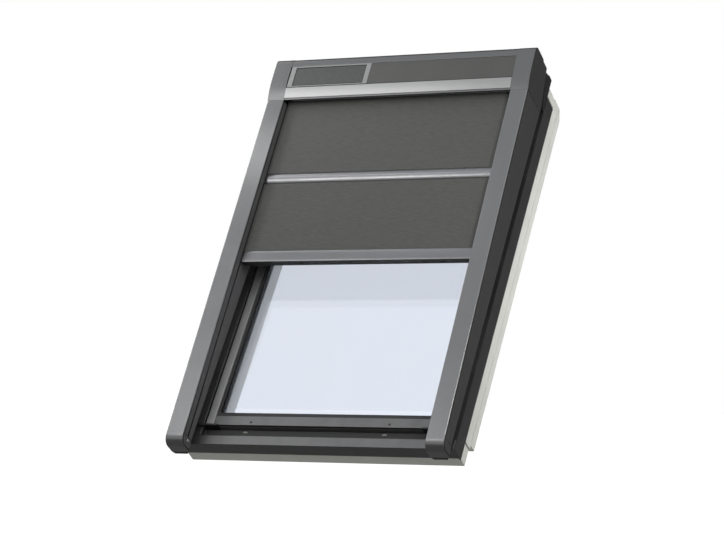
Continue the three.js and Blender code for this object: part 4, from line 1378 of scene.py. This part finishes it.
@dataclass
class Headbox(Assembly):
    """The headbox: end caps, front, trim strip, solar panel and what it holds."""

    body: str = "shutter"
    start: float = 1065.3
    length: float = 142.0
    back: float = 133.0
    overhang: float = 1.4
    edge: float = 0.6
    part_edge: float = 0.5
    end_edge: float = 0.3
    cap_edges: Reach = (0.5, 1.6)
    # Crown faces that rise within these slopes, and faces below these places from the lower edge, are painted
    # black: painted shade.
    black_slopes: Reach = (0.3, 0.85)
    cap_black: float = -9.0
    wall_black: float = 5.0
    strip_black: float = 5.5
    bulge: float = 10.5
    bulge_run: float = 88.0
    bulge_power: float = 2.6
    crown: float = 18.0
    inner: float = 340.0
    outer: float = 390.0
    half: float = 339.7
    recess: Reach = (37.5, 109.0)
    solar_reach: Reach = (-337.2, -90.5)
    border: Point = (14.8, 4.0)
    strip: Reach = (11.0, 36.4)
    gap: float = 0.2
    margin: float = 2.2
    border_depths: tuple[float, ...] = (6.4, 9.4, 9.8, 9.8, 9.2, 9.0, 6.4)
    seal_depth: Reach = (6.4, 8.0)
    panel_depth: Reach = (7.4, 8.6)
    inset_depth: Reach = (6.4, 9.0)
    contacts: int = 12
    contact_half: float = 0.35
    contact_margin: float = 2.0
    contact_depth: Reach = (8.55, 8.68)

    def build(self) -> None:
        """Builds the headbox from its caps inwards."""
        for side in Side:
            self.cap(side)
            self.copy(f"hinge_lug_{side.word}", BLACK_STEEL, self.edge)
        self.front()
        self.copy("headbox_back", BOX_LACQUER, self.edge)
        self.trim()
        self.solar()
        self.inset()
        self.keep("battery_pack", PLASTIC)
        self.copy("idler_bracket", STEEL, self.part_edge)
        self.copy("tube_motor", STEEL, self.part_edge)

    def at(self, points: Iterable[tuple[float, ...]]) -> list[tuple[float, ...]]:
        """Moves points given from the headbox's lower edge to their place along the rails."""
        return [(p[0] + self.start, *p[1:]) for p in points]

    def curve(self, lift: float, reach: Reach, steps: int = 10) -> list[Point]:
        """Returns the front's bulge: it rises quickly from the lower edge and levels out."""
        made = []
        for i in range(steps + 1):
            along = reach[0] + (reach[1] - reach[0]) * i / steps
            left = max(1 - along / self.bulge_run, 0.0)
            made.append((along, self.bulge * (1 - left ** self.bulge_power) + lift))
        return made

    def cap(self, side: Side) -> None:
        """Builds a cap: a hollow shell with a softly bulged front, open to the box and to the rail."""
        low, end = depth_at(self.start, self.back), self.length
        crown = [(end - self.crown - 4, self.bulge), (end, self.bulge, self.crown), (end, -51.0, 1.5)]
        rear = [(end - 5, -58.0, 2.0), (end - 5, -86.0, 4.0), (116.0, -89.0, 6.0), (26.0, low), (0.0, low)]
        face = [(0.6, -0.9), (0.2, -0.3), *self.curve(0.0, (0.6, self.bulge_run))]
        outline = self.at([*face, *rounded([*crown, *rear], 8)])
        reach = side.span(self.inner, self.outer + self.overhang)
        form = Form().prism(outline, "x", reach, self.cap_edges[::side.value])
        cap = form.object(f"headbox_cap_{side.word}_lacquered")
        hollow = [(-3.0, low + 2), (26.0, low + 2), (115.0, -87.0), (end - 7, -84.0), (end - 7, -58.0)]
        hollow += [(end - 2, -50.0), (end - 2, -10.0), (end - 16, 5.0), (64.0, 7.6), (32.0, 4.2), (12.0, 0.6)]
        hollow += [(-3.0, -3.2)]
        inside = side.span(self.inner - 2, self.outer - 2.4)
        tool = Form().prism(self.at(hollow), "x", inside).object("cap_hollow")
        dress(cap, BOX_LACQUER)
        dress(tool, BOX_LACQUER)
        cut(cap, tool)
        self.darken(cap, self.cap_black)
        settle(cap, BOX_LACQUER, self.body, f"headbox_cap_{side.word}")

    def across(self, outline: Sequence[Point]) -> Form:
        """Draws an outline, given from the headbox's lower edge, from cap to cap."""
        return Form().prism(self.at(outline), "x", (-self.half, self.half), self.end_edge)

    def front(self) -> None:
        """Builds the wall between the caps, with the seat of the panels and the rounded crown."""
        end = self.length - 1.0
        top = self.bulge - 0.8
        seat = [(0.0, 0.0), (37.0, 6.2), (109.3, 6.2), (109.3, top, 1.2)]
        crown = [(end, top, self.crown - 1.5), (end, -51.0), (end - 3.0, -51.0), (end - 3.0, -9.0, 6.0)]
        outline = rounded([*seat, *crown, (end - 16.0, 4.0, 5.0), (35.0, 4.0), (0.0, -2.0)], 6)
        wall = self.across(outline).object("headbox_front_folded")
        dress(wall, BOX_LACQUER)
        self.darken(wall, self.wall_black)
        settle(wall, BOX_LACQUER, self.body, "headbox_front")

    def darken(self, piece: Object, low: float) -> None:
        """Paints the rounded crown of a piece black, and what lies below a place from the lower edge: painted
        shade where the crown turns away and under the box's lower edge.
        """
        piece.data.materials.append(PLASTIC.material())
        to_plane = Plane.SHUTTER.matrix().inverted()
        turn = to_plane.to_3x3().normalized()
        for face in piece.data.polygons:
            rise = (turn @ face.normal).y
            place = to_plane @ face.center
            on_crown = self.black_slopes[0] < rise < self.black_slopes[1] and place.z > -self.crown
            if on_crown or place.y < self.start + low:
                face.material_index = len(piece.data.materials) - 1

    def trim(self) -> None:
        """Builds the bright strip, which follows the bulge, with its rolled lower lip."""
        face = self.curve(0.3, self.strip, 8)
        end = self.strip[1]
        outline = rounded([(6.0, 0.9), (5.2, 1.1, 0.2), (5.2, 2.0, 0.7), *face, (end, 6.1), (30.0, 5.0)], 4)
        strip = self.across(outline).object("trim_strip_rolled")
        dress(strip, TRIM)
        self.darken(strip, self.strip_black)
        settle(strip, TRIM, self.body, "trim_strip")

    def ring(self, x: Reach, y: Reach, z: float) -> list[Triple]:
        """Returns a rectangle's corners at a depth."""
        return [(x[0], y[0], z), (x[1], y[0], z), (x[1], y[1], z), (x[0], y[1], z)]

    def solar(self) -> None:
        """Builds the solar panel's mitred bright frame, its dark seal and the panel with its contacts."""
        x, y = self.solar_reach, (self.start + self.recess[0], self.start + self.recess[1])
        side, end = self.border
        moves = [(0.0, 0.0), (0.0, 0.0), (0.5, 0.25), (1.6, 0.8), (0.96 * side, 0.96 * end)]
        moves += [self.border] * 2
        rings = []
        for (u, v), depth in zip(moves, self.border_depths):
            rings.append(self.ring((x[0] + u, x[1] - u), (y[0] + v, y[1] - v), depth))
        border = Form().loft(rings, loop=True).object("solar_frame_mitred", math.radians(20))
        settle(border, PANEL_FRAME, self.body, "solar_frame")
        gap = self.gap
        inside = ((x[0] + side + gap, x[1] - side - gap), (y[0] + end + gap, y[1] - end - gap))
        seal = Form().box(*inside, self.seal_depth, gap).object("solar_seal")
        settle(seal, PLASTIC, self.body)
        cells = tuple((reach[0] + self.margin, reach[1] - self.margin) for reach in inside)
        panel = Form().box(*cells, self.panel_depth, self.end_edge).object("solar_panel_cells")
        settle(panel, SOLAR, self.body, "solar_panel")
        (left, right), (low, high) = cells
        length = (low + self.contact_margin, high - self.contact_margin)
        finger = Form().box((-self.contact_half, self.contact_half), length, self.contact_depth)
        pitch = (right - left) / (self.contacts + 1)
        span = (left + pitch, right - pitch)
        row("solar_contacts", SOLAR_LINE, self.body, finger, span, (0.0, 0.0), self.contacts)

    def inset(self) -> None:
        """Builds the plain dark panel beside the solar panel."""
        y = (self.start + self.recess[0], self.start + self.recess[1])
        form = Form().box((self.solar_reach[1] + self.end_edge, self.half), y, self.inset_depth, self.edge)
        settle(form.object("inset_panel_plain"), INSET_LACQUER, self.body, "inset_panel")


@dataclass
class Curtain:
    """The cloth with its slats, bottom bar and roll."""

    cloth_depth: float = -28.0
    cloth_thickness: float = 1.2
    cloth_half: float = 339.0
    cloth_tuck: float = 0.6
    cloth_step: float = 16.0
    cloth_cuts: int = 12
    slat_half: float = 337.0
    slat_height: float = 36.0
    slat_back: float = -29.0
    slat_crown: float = 7.8
    slat_bed: float = 1.0
    slat_end: float = 2.5
    slat_places: tuple[tuple[str, float], ...] = (("slat_3", 1172.3), ("slat_2", 1098.3), ("slat_1", 812.3))
    bar_ends: Reach = (532.8, 569.8)
    bar_half: float = 335.0
    bar_edge: float = 1.6
    bar_tongue: float = 24.0
    foot_slope: float = 0.94
    roll_centre: Point = (1131.3, -60.0)
    roll_radii: Reach = (20.3, 26.6)
    roll_half: float = 317.0
    roll_thick: float = 1.0
    roll_gap: float = 0.15
    roll_steps: int = 28
    tongues_reach: Reach = (333.0, 349.0)
    tongue_depth: Reach = (-29.6, -26.4)
    tongue_edge: float = 0.5
    cloths: tuple[tuple[str, str, Reach], ...] = (
        ("slat_1", "bottom_bar", (569.3, 794.8)), ("slat_2", "slat_1", (829.8, 1080.6)),
        ("slat_3", "slat_2", (1115.8, 1154.8)), ("shutter", "slat_3", (1188.4, 1199.0)),
    )

    def build(self) -> None:
        """Builds the curtain from the bar up to the roll."""
        tree = slat_tree()
        for name, place in self.slat_places:
            self.slat(tree, name, place)
        self.bar()
        for number, joined in enumerate(self.cloths, 1):
            self.cloth(number, *joined)
        self.roll()

    def tongues(self, place: float, height: float) -> Object:
        """Returns the tongues at a slat's ends that run in the rails' slots."""
        form = Form()
        reach = (place - height / 2, place + height / 2)
        for side in Side:
            form.box(side.span(*self.tongues_reach), reach, self.tongue_depth, self.tongue_edge)
        return form.object("tongues")

    def slat(self, tree: Tree, name: str, place: float) -> None:
        """Builds a slat: a lacquered section with a softly rounded crown, and its tongues."""
        sizes = {"Length": 2 * self.slat_half, "Height": self.slat_height - 1.0, "Crown": self.slat_crown}
        sizes |= {"Back": self.slat_bed, "Level": self.slat_back, "Place": place, "End": self.slat_end}
        section = tree.bake("slat_body", Plane.SHUTTER, SLAT_LACQUER, math.radians(60), **sizes)
        whole = welded(f"{name}_section", section, self.tongues(place, self.slat_height - 6))
        settle(whole, SLAT_LACQUER, name, name)

    def bar(self) -> None:
        """Builds the bottom bar: a slightly bulged face, a bright rounded lower edge and a deep underside
        painted dark as painted shade.
        """
        low, high = self.bar_ends
        upper = [(high - 0.6, -23.6), (high - 3.0, -22.2), (high - 10.0, -21.7)]
        lower = [(low + 16.0, -21.5), (low + 6.0, -21.8), (low, -23.0, 3.0), (low + 1.0, -44.0, 2.0)]
        back = [(low + 14.0, -44.0, 2.0), (low + 16.0, -31.0, 3.0), (high - 0.3, -31.0, 1.0)]
        outline = rounded([*upper, *lower, *back], 6)
        form = Form().prism(outline, "x", (-self.bar_half, self.bar_half), self.bar_edge)
        tongues = self.tongues((low + high) / 2, self.bar_tongue)
        whole = welded("bottom_bar_section", form.object("bar_body"), tongues)
        dress(whole, BAR_LACQUER)
        # Faces that look down the slope get the darker colour: painted shade.
        whole.data.materials.append(BAR_UNDERSIDE_SHADE.material())
        down = Plane.SHUTTER.matrix().to_3x3().normalized() @ Vector((0.0, -1.0, 0.0))
        for face in whole.data.polygons:
            if face.normal.dot(down) > self.foot_slope:
                face.material_index = 1
        settle(whole, BAR_LACQUER, "bottom_bar", "bottom_bar")

    def cloth(self, number: int, upper: str, lower: str, reach: Reach) -> None:
        """Args:
            number: The panel's number, from the lowest.
            upper: The body that it hangs from.
            lower: The body that it pulls.
            reach: Its lower and upper end along the rails.
        """
        steps = max(4, round((reach[1] - reach[0]) / self.cloth_step))
        places = [reach[0] + (reach[1] - reach[0]) * i / steps for i in range(steps + 1)]
        half = self.cloth_thickness / 2
        faces = [[(y, depth) for y in places] for depth in (self.cloth_depth + half, self.cloth_depth - half)]
        form = Form().band(*faces, (-self.cloth_half, self.cloth_half), self.cloth_cuts)
        piece = form.object(f"cloth_{number}")
        dress(piece, FABRIC)
        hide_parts(f"fabric_panel_{number}")
        to_row, tuck = Plane.SHUTTER.matrix(), self.cloth_tuck
        start, end = (to_row @ Vector((0.0, y, self.cloth_depth)) for y in (reach[1] - tuck, reach[0] + tuck))
        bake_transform(piece, upper, lower, start=start, end=end)
        LOG.info("%s hangs between %s and %s", piece.name, upper, lower)

    def roll(self) -> None:
        """Winds the rest of the cloth on the tube in a tight spiral."""
        first, last = self.roll_radii
        turns = (last - first) / (self.roll_thick + self.roll_gap)
        steps = round(turns * self.roll_steps)
        lines: list[list[Point]] = [[], []]
        for i in range(steps + 1):
            angle = math.tau * turns * i / steps
            base = first + (last - first - self.roll_thick) * i / steps
            for line, radius in zip(lines, (base, base + self.roll_thick)):
                along, deep = self.roll_centre
                line.append((along + radius * math.cos(angle), deep + radius * math.sin(angle)))
        piece = Form().band(*lines, (-self.roll_half, self.roll_half)).object("cloth_roll")
        settle(piece, FABRIC, "roller", "fabric_roll")
        dress(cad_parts["roller_tube"], STEEL)


def main() -> None:
    """Builds the studio and every sub-assembly in turn."""
    logging.basicConfig(level=logging.INFO, format="%(name)s: %(message)s")
    for part in (Studio(), FixedFrame(), Sash(), ControlBar(), Rails(), Headbox(), Curtain()):
        part.build()
        LOG.info("%s is built", type(part).__name__)


if __name__ == "__main__":
    main()
